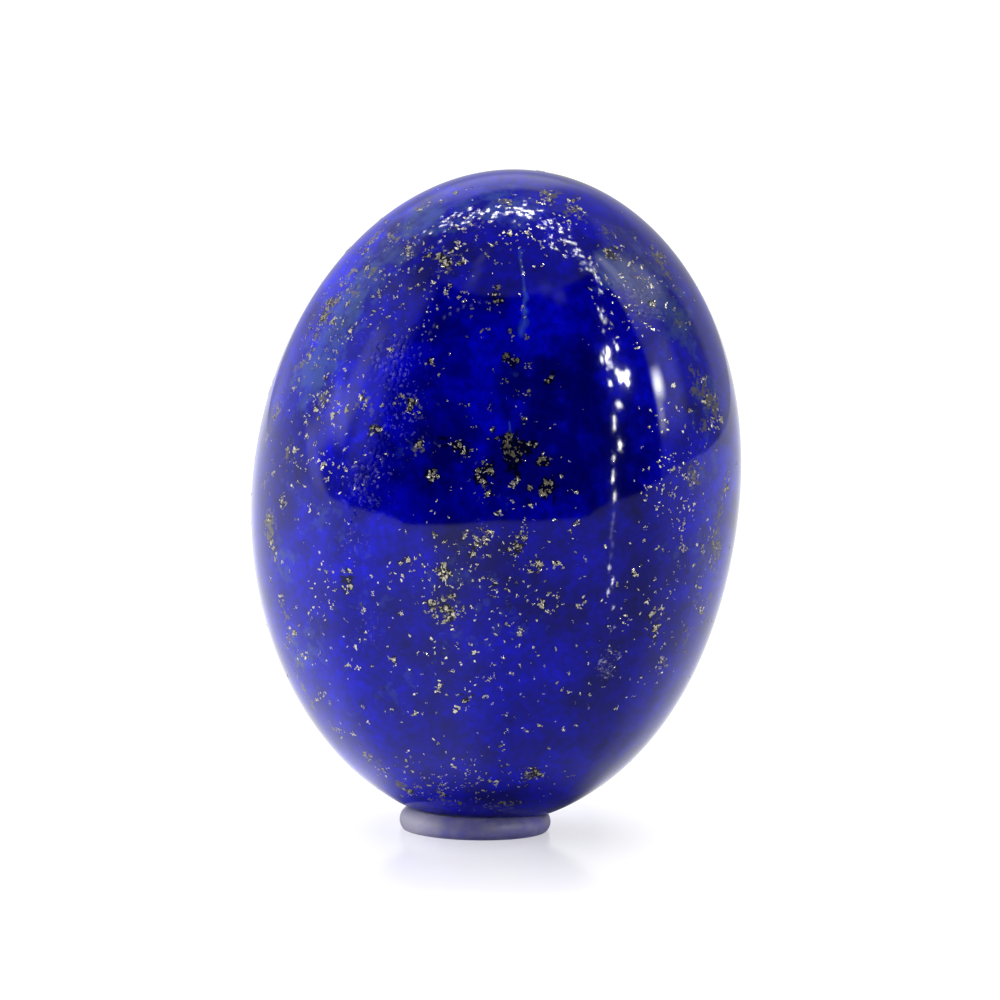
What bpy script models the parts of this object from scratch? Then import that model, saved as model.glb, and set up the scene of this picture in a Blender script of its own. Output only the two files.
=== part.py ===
"""A polished oval of lapis lazuli, standing on end in a soft ring.

Metres, +Z up. The origin is on the surface that the ring rests on, under the middle of the
object's box. The stone shows its broad face to -Y, and its top leans a little towards +X.
"""

import math

import bmesh
import bpy
from mathutils import Vector
from mathutils.bvhtree import BVHTree

MM = 0.001

# The stone, along its own axes: length up, width across, and the two domes fore and aft
STONE_LENGTH = 26.4 * MM
STONE_WIDTH = 19.5 * MM
FRONT_DOME = 8.6 * MM
BACK_DOME = 7.8 * MM
STONE_LEAN_DEG = 4.8
STONE_OFF_FLOOR = 0.2 * MM
STONE_SUBDIVISIONS = 5

# Shaping by hand left the edge a little out of true. Each entry is how many high spots there
# are round the edge, how far they stand out as a share of the radius, and the place of one
# of them in degrees, counted from the stone's +X towards its top.
HIGH_SPOTS = ((3, 0.0068, 52.0), (4, 0.0026, 31.0))

# The ring: a round cord of soft silicone, flattened under its foot and pressed by the stone
RING_OUTSIDE = 6.0 * MM
RING_WALL = 0.9 * MM
RING_HEIGHT = 0.85 * MM
RING_WIDEST_AT = 0.35 * MM
RING_FROM_STONE_X = -0.63 * MM
RING_FROM_STONE_Y = -0.3 * MM
RING_STEPS = 72
CORD_STEPS = 20

FIT_GAP = 0.3 * MM

# sRGB colour, roughness, and how much light passes through
LAPIS = ("2A2BA8", 0.08, 0.0)
SILICONE = ("C9C8DC", 0.35, 0.6)


def linear(hex_colour: str) -> tuple[float, float, float, float]:
    """Turns an sRGB hex colour into linear red, green, blue and alpha."""
    channels = [int(hex_colour[i : i + 2], 16) / 255 for i in (0, 2, 4)]
    red, green, blue = (
        c / 12.92 if c <= 0.04045 else ((c + 0.055) / 1.055) ** 2.4 for c in channels
    )
    return red, green, blue, 1.0


def finish(name: str, look: tuple[str, float, float]) -> bpy.types.Material:
    """Makes a plain Principled material from a colour, a roughness and a transmission."""
    colour, roughness, transmission = look
    material = bpy.data.materials.new(name)
    material.use_nodes = True
    shader = material.node_tree.nodes["Principled BSDF"]
    shader.inputs["Base Color"].default_value = linear(colour)
    shader.inputs["Roughness"].default_value = roughness
    shader.inputs["Metallic"].default_value = 0.0
    shader.inputs["Transmission Weight"].default_value = transmission
    return material


def add_object(name: str, solid: bmesh.types.BMesh, material: bpy.types.Material) -> bpy.types.Object:
    """Turns a bmesh into a named, smooth-shaded object and frees the bmesh."""
    bmesh.ops.recalc_face_normals(solid, faces=solid.faces)
    mesh = bpy.data.meshes.new(name)
    solid.to_mesh(mesh)
    solid.free()
    mesh.shade_smooth()
    mesh.materials.append(material)
    made = bpy.data.objects.new(name, mesh)
    bpy.context.scene.collection.objects.link(made)
    return made


def swell_at(angle: float) -> float:
    """How far the stone's edge stands out of a true oval at this angle, as a share of the radius."""
    return sum(
        share * math.cos(count * (angle - math.radians(place)))
        for count, share, place in HIGH_SPOTS
    )


def on_stone(ball: Vector) -> Vector:
    """Moves a point of the unit ball's surface onto the stone, about the stone's middle."""
    x = ball.x * STONE_WIDTH / 2
    y = ball.y * (FRONT_DOME if ball.y < 0 else BACK_DOME)
    z = ball.z * STONE_LENGTH / 2
    nearness_to_edge = ball.x**2 + ball.z**2
    scale = 1 + nearness_to_edge * swell_at(math.atan2(z, x))
    return Vector((x * scale, y, z * scale))


def make_stone() -> bpy.types.Object:
    """The lapis oval, leaning, clear of the floor and centred on the origin by its box."""
    solid = bmesh.new()
    bmesh.ops.create_icosphere(solid, subdivisions=STONE_SUBDIVISIONS, radius=1.0)
    for vertex in solid.verts:
        vertex.co = on_stone(vertex.co)
    stone = add_object("lapis_oval", solid, finish("polished_lapis_lazuli", LAPIS))
    stone.rotation_euler.y = math.radians(STONE_LEAN_DEG)
    turned = stone.rotation_euler.to_matrix()
    corners = [turned @ vertex.co for vertex in stone.data.vertices]
    lowest, highest = (
        Vector([extreme(point[axis] for point in corners) for axis in range(3)])
        for extreme in (min, max)
    )
    stone.location.xy = -(lowest + highest).xy / 2
    stone.location.z = STONE_OFF_FLOOR - lowest.z
    bpy.context.view_layer.update()
    return stone


def underside_of(stone: bpy.types.Object) -> BVHTree:
    """A search tree of the placed stone, for finding how high its surface is over a point."""
    placed = stone.matrix_world
    points = [placed @ vertex.co for vertex in stone.data.vertices]
    faces = [tuple(face.vertices) for face in stone.data.polygons]
    return BVHTree.FromPolygons(points, faces)


def cord_section() -> list[Vector]:
    """The ring's outline in the XZ plane, with the part below the floor flattened onto it."""
    middle = (RING_OUTSIDE - RING_WALL) / 2
    half_height = RING_HEIGHT - RING_WIDEST_AT
    outline = []
    for step in range(CORD_STEPS):
        turn = 2 * math.pi * (step + 0.5) / CORD_STEPS
        x = middle + RING_WALL / 2 * math.cos(turn)
        z = RING_WIDEST_AT + half_height * math.sin(turn)
        outline.append(Vector((x, 0, max(z, 0.0))))
    return outline


def cord_top(radius: float) -> float:
    """How high the free cord's surface is at this distance from the ring's axis."""
    middle = (RING_OUTSIDE - RING_WALL) / 2
    across = min(abs(radius - middle) / (RING_WALL / 2), 1.0)
    return RING_WIDEST_AT + (RING_HEIGHT - RING_WIDEST_AT) * math.sqrt(1 - across**2)


def make_ring(stone: bpy.types.Object) -> bpy.types.Object:
    """The silicone ring, its top pressed down to follow the stone above it."""
    solid = bmesh.new()
    outline = [solid.verts.new(point) for point in cord_section()]
    edges = [
        solid.edges.new((outline[i], outline[(i + 1) % CORD_STEPS]))
        for i in range(CORD_STEPS)
    ]
    bmesh.ops.spin(
        solid,
        geom=outline + edges,
        cent=(0, 0, 0),
        axis=(0, 0, 1),
        angle=2 * math.pi,
        steps=RING_STEPS,
        use_merge=True,
    )
    centre = Vector(
        (stone.location.x + RING_FROM_STONE_X, stone.location.y + RING_FROM_STONE_Y, 0)
    )
    underside = underside_of(stone)
    for vertex in solid.verts:
        from_below = centre + vertex.co
        from_below.z = -MM
        stone_height = underside.ray_cast(from_below, Vector((0, 0, 1)))[0].z
        free_height = cord_top(vertex.co.xy.length)
        vertex.co.z *= min(1.0, (stone_height - FIT_GAP) / free_height)
    ring = add_object("silicone_ring", solid, finish("moulded_clear_silicone", SILICONE))
    ring.location = centre
    return ring


def main() -> None:
    """Clears the scene and builds the stone and its ring."""
    for old in list(bpy.data.objects):
        bpy.data.objects.remove(old, do_unlink=True)
    stone = make_stone()
    make_ring(stone)
    bpy.context.view_layer.update()


main()
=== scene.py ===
"""Looks of a polished lapis lazuli oval that stands on end in a soft silicone ring.

Metres, +Z up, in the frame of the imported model. The stone's broad face looks towards -Y, where
the camera is. The stone and the ring are each rebuilt as a fine mesh of the same shape and place
as their solids, and the pyrite that shows in the polish is made as grains set into the stone.
"""

import logging
import math
from collections.abc import Iterator, Mapping, Sequence
from dataclasses import dataclass, field
from enum import Enum

import bpy
import numpy as np
from mathutils import Matrix, Vector
from mathutils.bvhtree import BVHTree
from mathutils.kdtree import KDTree


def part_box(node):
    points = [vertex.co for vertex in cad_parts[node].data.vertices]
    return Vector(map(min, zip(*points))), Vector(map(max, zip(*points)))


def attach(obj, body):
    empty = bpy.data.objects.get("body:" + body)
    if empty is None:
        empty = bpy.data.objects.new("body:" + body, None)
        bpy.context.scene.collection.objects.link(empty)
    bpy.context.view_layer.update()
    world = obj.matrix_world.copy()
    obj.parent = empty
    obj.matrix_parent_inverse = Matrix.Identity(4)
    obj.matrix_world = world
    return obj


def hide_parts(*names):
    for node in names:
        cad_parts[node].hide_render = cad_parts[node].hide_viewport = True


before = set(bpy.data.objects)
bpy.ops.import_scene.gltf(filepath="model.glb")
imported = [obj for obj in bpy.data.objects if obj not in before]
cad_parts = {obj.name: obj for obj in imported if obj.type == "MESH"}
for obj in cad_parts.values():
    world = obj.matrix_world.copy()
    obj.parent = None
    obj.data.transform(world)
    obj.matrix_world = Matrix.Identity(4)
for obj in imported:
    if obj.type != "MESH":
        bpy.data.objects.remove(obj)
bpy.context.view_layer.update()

MM = 0.001
FULL_TURN = 2 * math.pi
HALF_TURN_DEG = 180.0

# Sockets that share their name with another one on their node, and so go by number
NUMBER_A, NUMBER_B = 2, 3
COLOUR_A, COLOUR_B, MIXED_COLOUR = 6, 7, 2
VECTOR_FROM_MIN, VECTOR_FROM_MAX, MAPPED_VECTOR = 7, 8, 1

# Noise of scale 1 has lumps about this wide
NOISE_LUMP = 0.5

log = logging.getLogger("lapis_oval")

Tree = bpy.types.NodeTree
Socket = bpy.types.NodeSocket

# A spot in mm from the middle of a group, and a place on the stone with its outward direction
Spot = tuple[float, float]
Found = tuple[Vector, Vector]


def linear(hex_colour: str) -> tuple[float, float, float, float]:
    """Turns an sRGB hex colour into linear red, green, blue and alpha.

    Args:
        hex_colour: Six hex digits, such as "1A2B3C".

    Returns:
        The linear colour, opaque.
    """
    channels = [int(hex_colour[i : i + 2], 16) / 255 for i in (0, 2, 4)]
    red, green, blue = (
        c / 12.92 if c <= 0.04045 else ((c + 0.055) / 1.055) ** 2.4 for c in channels
    )
    return red, green, blue, 1.0


def add_node(
    tree: Tree,
    kind: str,
    inputs: Mapping[str | int, object] | None = None,
    output: str | int = 0,
    **settings: object,
) -> Socket:
    """Adds a node, sets it up and links what feeds it.

    Args:
        tree: The node tree that the node goes into.
        kind: The node's Blender type.
        inputs: A value or a socket to link, for each input by name or number.
        output: The output that the caller wants.
        **settings: The node's own properties.

    Returns:
        The wanted output, or the node itself where it has none.
    """
    node = tree.nodes.new(kind)
    for name, value in settings.items():
        setattr(node, name, value)
    for key, value in (inputs or {}).items():
        if isinstance(value, Socket):
            tree.links.new(value, node.inputs[key])
        else:
            node.inputs[key].default_value = value
    return node.outputs[output] if len(node.outputs) else node


def set_ramp(tint: Socket, *tints: tuple[float, str]) -> None:
    """Gives the ramp behind a socket its tints.

    Args:
        tint: The ramp node's output.
        *tints: Each tint's position and its hex colour, in rising order.
    """
    elements = tint.node.color_ramp.elements
    for _ in tints[2:]:
        elements.new(0.5)
    for element, (position, colour) in zip(elements, tints, strict=True):
        element.position, element.color = position, linear(colour)


def own_coordinates(tree: Tree) -> Socket:
    """Gives a piece's own coordinates in millimetres, so that patterns are sized in real units."""
    place = add_node(tree, "ShaderNodeTexCoord", output="Object")
    return add_node(tree, "ShaderNodeVectorMath", {0: place, "Scale": 1 / MM}, operation="SCALE")


def by_ray(tree: Tree, kind: str, shader: Socket, otherwise: Socket) -> Socket:
    """Gives one shader to a kind of ray, such as "Is Glossy Ray", and another to the rest."""
    chosen = add_node(tree, "ShaderNodeLightPath", output=kind)
    return add_node(tree, "ShaderNodeMixShader", {0: chosen, 1: otherwise, 2: shader})


def new_material(name: str) -> tuple[bpy.types.Material, Tree]:
    """Makes an empty node material.

    Args:
        name: The material's name.

    Returns:
        The material and its tree.
    """
    material = bpy.data.materials.new(name)
    material.use_nodes = True
    material.node_tree.nodes.clear()
    return material, material.node_tree


def add_object(name: str, data: bpy.types.ID) -> bpy.types.Object:
    """Makes an object of a mesh, lamp or camera, and puts it in the scene."""
    bpy.context.scene.collection.objects.link(made := bpy.data.objects.new(name, data))
    return made


def add_piece(
    name: str, points: Sequence, faces: Sequence, finish: bpy.types.Material
) -> bpy.types.Object:
    """Makes a mesh object.

    Args:
        name: The object's name.
        points: Its points.
        faces: Its faces, as rows of point numbers.
        finish: Its material.

    Returns:
        The object.
    """
    mesh = bpy.data.meshes.new(name)
    mesh.from_pydata(points, [], faces)
    mesh.materials.append(finish)
    return add_object(name, mesh)


def store(piece: bpy.types.Object, name: str, values: np.ndarray) -> None:
    """Stores a value at each point of a piece for its finish to read."""
    piece.data.attributes.new(name, "FLOAT", "POINT").data.foreach_set("value", values)


@dataclass(frozen=True)
class HighSpots:
    """High spots that shaping by hand left round the stone's edge.

    Attributes:
        count: How many there are round the edge.
        share: How far they stand out, as a share of the radius.
        place: Where one of them is, in degrees from the stone's +X towards its top.
    """

    count: int
    share: float
    place: float


@dataclass(frozen=True)
class OvalShape:
    """The stone's shape about its own middle: length along Z, width along X, front towards -Y."""

    length: float = 26.4 * MM
    width: float = 19.5 * MM
    front_dome: float = 8.6 * MM
    back_dome: float = 7.8 * MM
    lean_deg: float = 4.8
    high_spots: tuple[HighSpots, ...] = (HighSpots(3, 0.0068, 52.0), HighSpots(4, 0.0026, 31.0))

    def surface(self, ball: np.ndarray) -> np.ndarray:
        """Moves points of the unit ball onto the stone.

        Args:
            ball: Points of the unit ball's surface, one a row.

        Returns:
            The same points on the stone, about its middle.
        """
        x, y, z = ball.T
        angle = np.arctan2(z * self.length, x * self.width)
        swell = sum(
            spots.share * np.cos(spots.count * (angle - math.radians(spots.place)))
            for spots in self.high_spots
        )
        scale = 1 + (x**2 + z**2) * swell
        dome = np.where(y < 0, self.front_dome, self.back_dome)
        return np.column_stack((x * self.width / 2 * scale, y * dome, z * self.length / 2 * scale))

    def leaning(self, ball: np.ndarray) -> np.ndarray:
        """Moves points of the unit ball onto the stone and leans it as it stands."""
        lean = np.array(Matrix.Rotation(math.radians(self.lean_deg), 3, "Y"))
        return self.surface(ball) @ lean.T

    def place(self, points: np.ndarray, node: str) -> Vector:
        """Works out where the stone's middle is.

        Args:
            points: The leaning stone's surface about its middle.
            node: The CAD node whose box the stone fills.

        Returns:
            The place of the stone's middle.
        """
        lowest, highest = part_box(node)
        own = (points.min(0) + points.max(0)) / 2
        return (Vector(lowest) + Vector(highest)) / 2 - Vector(own)


@dataclass(frozen=True)
class View:
    """The photographed side, and the camera that shows it.

    Places on the stone that are listed are given as seen from here, in millimetres across
    to the right and up from the stone's middle.
    """

    elevation_deg: float = 6.9
    roll_deg: float = 1.2
    distance: float = 280 * MM
    nearest: float = 14 * MM
    farthest: float = 20_000 * MM
    frame_width: float = 40 * MM
    sensor: float = 36 * MM
    middle_from_frame: tuple[float, float] = (-0.12 * MM, 0.136 * MM)

    def axes(self) -> tuple[Vector, Vector, Vector]:
        """Works out which way the camera is turned.

        Returns:
            Its right, up and backward directions.
        """
        rise, roll = math.radians(self.elevation_deg), math.radians(self.roll_deg)
        level, steep = Vector((1, 0, 0)), Vector((0, math.sin(rise), math.cos(rise)))
        right = level * math.cos(roll) + steep * math.sin(roll)
        up = steep * math.cos(roll) - level * math.sin(roll)
        return right, up, right.cross(up)

    def eye(self, middle: Vector) -> Vector:
        """Works out where the camera is.

        Args:
            middle: The stone's middle.

        Returns:
            The camera's place.
        """
        right, up, back = self.axes()
        across, above = self.middle_from_frame
        return middle - right * across - up * above + back * self.distance

    def place_camera(self, middle: Vector) -> None:
        """Makes the camera and points it so that the stone's middle falls where it should.

        Args:
            middle: The stone's middle.
        """
        camera = bpy.data.cameras.new("camera")
        camera.sensor_width = self.sensor / MM
        camera.lens = self.sensor / MM * self.distance / self.frame_width
        camera.clip_start = self.nearest
        camera.clip_end = self.farthest
        turned = Matrix(self.axes()).transposed().to_4x4()
        stand = add_object("camera", camera)
        stand.matrix_world = Matrix.Translation(self.eye(middle)) @ turned
        bpy.context.scene.camera = stand
        log.info("camera: %.0f mm lens at %.0f mm", camera.lens, self.distance / MM)


@dataclass(frozen=True)
class Ball:
    """A ball of quads, six squares of a cube blown round, with a map of one cell to a square.

    Points of the squares that agree to one part in weld_grid of the radius are one.
    """

    steps: int = 126
    map_cells: tuple[int, int] = (3, 2)
    map_margin: float = 0.004
    weld_grid: float = 1e6

    def cube_sides(self) -> Iterator[tuple[np.ndarray, np.ndarray, np.ndarray]]:
        """Goes through the cube's sides.

        Yields:
            Each side's outward, rightward and upward directions.
        """
        x, y, z = np.eye(3)
        for outward, upward in ((-y, z), (y, z), (x, z), (-x, z), (z, y), (-z, y)):
            yield outward, np.cross(upward, outward), upward

    def build(self) -> tuple[np.ndarray, np.ndarray, np.ndarray]:
        """Makes the ball.

        Returns:
            Its points, its quads as rows of four point numbers, and the map's place of each
            corner of each quad.
        """
        n = self.steps
        slope = np.tan(np.linspace(-math.pi / 4, math.pi / 4, n + 1))
        across, above = (grid.ravel()[:, None] for grid in np.meshgrid(slope, slope))
        first = (np.arange(n)[:, None] * (n + 1) + np.arange(n)).ravel()
        square = np.column_stack((first, first + 1, first + n + 2, first + n + 1))
        counts = np.meshgrid(np.arange(n + 1), np.arange(n + 1))
        share = np.column_stack([count.ravel() / n for count in counts])
        cells_across, cells_up = self.map_cells
        room = np.array((1 / cells_across, 1 / cells_up)) - 2 * self.map_margin
        points, quads, spots = [], [], []
        for number, (outward, rightward, upward) in enumerate(self.cube_sides()):
            side = outward + across * rightward + above * upward
            points.append(side / np.linalg.norm(side, axis=1, keepdims=True))
            quads.append(square + number * (n + 1) ** 2)
            column, row = number % cells_across, number // cells_across
            corner = np.array((column / cells_across, row / cells_up))
            spots.append((corner + self.map_margin + share * room)[square].reshape(-1, 2))
        every = np.vstack(points)
        _, kept, welded = np.unique(
            np.round(every * self.weld_grid).astype(int),
            axis=0,
            return_index=True,
            return_inverse=True,
        )
        return every[kept], welded.ravel()[np.vstack(quads)], np.vstack(spots)


@dataclass(frozen=True)
class Placed:
    """The stone's surface where it stands, for finding places on it."""

    tree: BVHTree
    middle: Vector
    eye: Vector
    axes: tuple[Vector, Vector, Vector]
    well_outside: float = 30 * MM

    def seen_at(self, across: float, up: float) -> Found | None:
        """Finds the place on the stone that is seen at a spot.

        Args:
            across: Millimetres to the right of the stone's middle, as seen from the camera.
            up: Millimetres above it.

        Returns:
            The place and the surface's outward direction there, or None beside the stone.
        """
        right, above, _ = self.axes
        towards = self.middle + right * across * MM + above * up * MM - self.eye
        place, outward, _, _ = self.tree.ray_cast(self.eye, towards.normalized())
        return None if place is None else (place, outward)

    def seen(self, across: float, up: float, spots: list[Spot]) -> list[Found | None]:
        """Finds the places of spots round one that is given as seen."""
        return [self.seen_at(across + x, up + y) for x, y in spots]

    def near(self, place: Vector, outward: Vector, spots: list[Spot]) -> list[Found | None]:
        """Finds the places of spots round a place.

        Args:
            place: The place.
            outward: The surface's outward direction there.
            spots: The spots.

        Returns:
            Each spot's place and outward direction, or None where it is off the stone.
        """
        aside = outward.orthogonal().normalized()
        across = outward.cross(aside)
        starts = [place + (aside * x + across * y + outward) * MM for x, y in spots]
        casts = [self.tree.ray_cast(start, -outward)[:2] for start in starts]
        return [found if found[0] else None for found in casts]

    def above(self, start: Vector) -> Vector:
        """Finds the place on the stone's underside that is straight above a point."""
        return self.tree.ray_cast(start, Vector((0, 0, 1)))[0]

    def unseen(self, chance: np.random.Generator) -> Found:
        """Draws a place on the sides that the camera doesn't see.

        Args:
            chance: The random numbers.

        Returns:
            The place and the surface's outward direction there.
        """
        while True:
            way = Vector(chance.normal(size=3)).normalized()
            place, outward, _, _ = self.tree.ray_cast(self.middle + way * self.well_outside, -way)
            if outward.dot(self.eye - place) < 0:
                return place, outward


class Habit(Enum):
    """How a group of pyrite grains lies in the rock.

    Each gives the share that it fills, its grain size in mm, and how bright its grains are.
    """

    PATCH = (0.36, 0.06, 1.02)
    THICK = (0.46, 0.06, 0.88)
    DUST = (0.2, 0.05, 0.6)
    STREAK = (0.62, 0.056, 0.9)
    SPECK = (0.9, 0.1, 1.0)
    # Painted shade: dim grains, set only where the pyrite mirrors the dark opening
    BLACK = (0.42, 0.05, 0.22)


@dataclass(frozen=True)
class Group:
    """One group of pyrite grains, as seen from the camera.

    Its place, half its length and half its width are in mm, and its turn from level in degrees.
    """

    across: float
    up: float
    long: float
    short: float
    turn: float = 0.0
    habit: Habit = Habit.PATCH


P, T, D, S, K, B = Habit

# Groups that stand out on the photographed side, placed one by one
SEEN_GROUPS = tuple(
    Group(*row)
    for row in (
        (0.56, 6.5, 0.3, 0.1, 90, B), (1.24, 6.4, 0.2, 0.1, 90, B), (-2.6, 5.4, 0.3, 0.2),
        (0.56, 5.5, 0.35, 0.25, 0, B), (1.2, 5.3, 0.2, 0.15), (0.3, 4.6, 0.15, 0.12, 0, B),
        (2.1, 4.7, 0.25, 0.12, 0, B), (1.25, 4.05, 0.27, 0.12, 80, B), (-3.9, 3.9, 0.33, 0.28, 0, D),
        (-3.3, 3.6, 0.38, 0.3, 60), (-0.3, 3.5, 0.16, 0.08, 90), (-1.3, 3.65, 0.25, 0.06, -10, D),
        (-0.9, 2.8, 0.17, 0.1, -30), (0.0, 2.4, 0.07, 0.05, 45, K), (-3.1, 2.1, 0.35, 0.2, 75),
        (-2.35, 2.0, 0.25, 0.08, 70, D), (-1.55, 2.0, 0.55, 0.22, -60), (0.6, 1.95, 0.6, 0.45, 90, B),
        (1.5, 2.1, 0.3, 0.08, 0, S), (1.9, 1.4, 0.3, 0.25, 0, B), (-2.65, 0.9, 0.33, 0.27),
        (-0.5, 0.95, 0.55, 0.3, 75, T), (-0.45, 0.1, 0.35, 0.13, 110, T), (0.7, 0.5, 0.3, 0.2, 35, T),
        (1.3, 0.35, 0.2, 0.15, 0, B), (2.0, 0.4, 0.55, 0.25, 70, B), (1.9, 0.3, 0.4, 0.12, 70),
        (1.5, -0.3, 0.22, 0.14, 30, T), (3.0, 0.15, 0.22, 0.15), (-2.6, -0.6, 0.16, 0.07, -20),
        (0.1, -0.65, 0.16, 0.08, 30, K), (-0.75, -1.6, 0.6, 0.4), (-1.05, -2.2, 0.33, 0.07, -45, S),
        (1.1, -1.5, 0.45, 0.15, 90, T), (0.75, -2.15, 0.3, 0.27, 0, T), (2.3, -1.0, 0.14, 0.1, 90),
        (3.2, -1.05, 0.17, 0.12, 90), (-2.1, -1.8, 0.16, 0.12), (-3.7, -2.55, 0.27, 0.1, 30, S),
        (-2.25, -2.95, 0.48, 0.3, -25, T), (1.4, -2.8, 0.4, 0.33, 0, T), (2.65, -2.75, 0.48, 0.15, 5),
        (-3.8, -3.25, 0.15, 0.12), (-2.05, -4.5, 0.85, 0.5, 0, D), (-1.8, -4.6, 0.33, 0.2, -30, T),
        (-2.55, -4.45, 0.35, 0.1, -75, S), (1.65, -4.3, 0.27, 0.25, 0, T),
        (2.35, -4.0, 0.38, 0.12, -30), (3.4, -4.25, 0.27, 0.2, 60), (1.0, -5.4, 0.27, 0.14, 90),
        (-2.6, -5.7, 0.22, 0.06, -50, S), (-4.1, -6.75, 0.27, 0.15, 90, T),
        (-2.35, -7.6, 0.28, 0.18, 80, T), (-0.5, -7.95, 0.16, 0.12, 60, T),
        (-1.15, -8.1, 0.2, 0.15, 0, D), (-1.75, -8.6, 0.13, 0.06, 0, K), (-3.3, -8.6, 0.2, 0.15, 60),
        (1.7, -9.1, 0.15, 0.12, 0, T), (-2.45, -9.8, 0.13, 0.08, -20, K), (1.5, -11.1, 0.48, 0.28),
        (-3.5, -10.5, 0.25, 0.2, 0, D), (-2.1, -11.8, 0.4, 0.2), (0.25, -12.25, 0.35, 0.12),
        (-0.5, -12.45, 0.3, 0.1), (5.5, -3.05, 0.2, 0.15), (6.35, -4.6, 0.38, 0.2, 50, T),
        (6.35, -5.5, 0.38, 0.15, 70), (6.55, -6.8, 0.33, 0.18, 70, T), (7.4, -1.9, 0.4, 0.12, -60),
        (8.2, -2.15, 0.3, 0.1, 90), (8.7, -2.1, 0.7, 0.18, 80), (7.8, 0.8, 0.35, 0.25, 60, D),
        (7.0, 1.0, 0.3, 0.1, 60, D), (8.7, 3.0, 0.6, 0.3, 80), (9.2, 0.5, 0.7, 0.12, 88),
        (8.1, -3.4, 0.3, 0.15, 60), (8.2, -4.6, 0.4, 0.12, 65), (3.15, 11.5, 0.5, 0.28, -60),
        (2.85, 10.9, 0.2, 0.15), (4.65, 9.75, 0.45, 0.3, 0, D), (6.5, 9.65, 0.55, 0.12, -55, S),
        (6.25, 7.6, 0.25, 0.2, 60), (7.6, 6.85, 0.28, 0.12, 90), (8.3, 4.6, 0.35, 0.2, 60),
        (8.5, 3.85, 0.35, 0.28, 80), (2.0, 12.0, 0.4, 0.3, -50), (0.3, 11.8, 0.28, 0.15, -10),
        (-1.5, 12.2, 0.6, 0.1, 15), (-3.0, 11.6, 0.4, 0.15, 25), (-4.2, 10.4, 0.25, 0.2, 40),
        (-4.9, 10.4, 0.5, 0.15, 45), (-3.5, 9.7, 0.35, 0.2, 40), (-1.5, 10.8, 0.45, 0.12, -35),
        (0.6, 10.6, 0.42, 0.14, 5), (1.2, 10.5, 0.2, 0.15), (-1.45, 10.1, 0.27, 0.2, 40),
        (-2.75, 9.8, 0.38, 0.2, 25, D), (-2.05, 9.55, 0.48, 0.28, 20, T), (-1.45, 9.35, 0.3, 0.13, 20),
        (-5.7, 9.0, 0.25, 0.13, 60), (-5.15, 9.15, 0.25, 0.15, 20), (-4.65, 8.1, 0.22, 0.13, 45, T),
        (-6.6, 7.7, 0.6, 0.14, 65, S), (-7.1, 6.9, 0.45, 0.12, 68, S), (-6.9, 7.5, 0.5, 0.1, 62, S),
        (-6.2, 8.6, 0.35, 0.14, 50), (-6.5, 7.1, 0.3, 0.16, 60), (-7.5, 5.6, 0.35, 0.1, 72, S),
        (-8.0, 4.6, 0.3, 0.1, 75), (-5.2, 9.9, 0.3, 0.14, 40), (-8.9, 1.0, 0.35, 0.1, 86),
        (-8.9, -2.4, 0.4, 0.12, 92), (-8.6, -4.2, 0.35, 0.12, 98), (-5.7, 6.75, 0.28, 0.17, 50),
        (-2.0, 8.2, 0.3, 0.1, -50), (-2.45, 8.5, 0.22, 0.1, -40), (0.0, 8.4, 0.2, 0.14, 0, B),
        (-0.1, 7.9, 0.35, 0.28, 0, D), (-6.45, 3.5, 0.42, 0.2, 80, T), (-7.0, 3.85, 0.5, 0.25, 60),
        (-5.35, 3.8, 0.35, 0.22, 90), (-4.9, 2.7, 0.33, 0.2), (-6.5, 5.6, 0.38, 0.12, 80, D),
        (-4.3, 5.9, 0.22, 0.2, 60), (-7.6, 3.05, 0.27, 0.14, 60), (-7.6, 2.35, 0.18, 0.12, 90),
        (-8.85, 3.4, 0.3, 0.12, 80), (-8.15, 1.65, 0.55, 0.18, 85), (-6.95, 1.2, 0.2, 0.08, 70, K),
        (-8.55, -0.25, 0.5, 0.12, 88, S), (-9.1, -1.4, 0.7, 0.16, 88), (-6.0, -3.1, 0.28, 0.18, 90, T),
        (-5.95, -3.75, 0.22, 0.2), (-8.3, -5.6, 0.5, 0.18, 75), (-7.65, -6.3, 0.25, 0.18, 80),
        (-7.1, -8.0, 0.3, 0.14, 55), (-5.1, -10.4, 0.4, 0.14, -35), (-3.7, -11.7, 0.45, 0.12, -25),
        (-2.9, -12.0, 0.4, 0.1, -18), (-1.5, -12.3, 0.4, 0.1, -8), (0.9, -12.2, 0.4, 0.09, 6),
        (1.9, -12.0, 0.3, 0.08, 12, D), (-4.6, -11.0, 0.35, 0.1, -32), (-6.3, -9.3, 0.4, 0.1, -48),
        (-0.1, -11.3, 0.2, 0.14), (2.9, -11.2, 0.25, 0.1, 20, D),
    )
)

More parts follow.
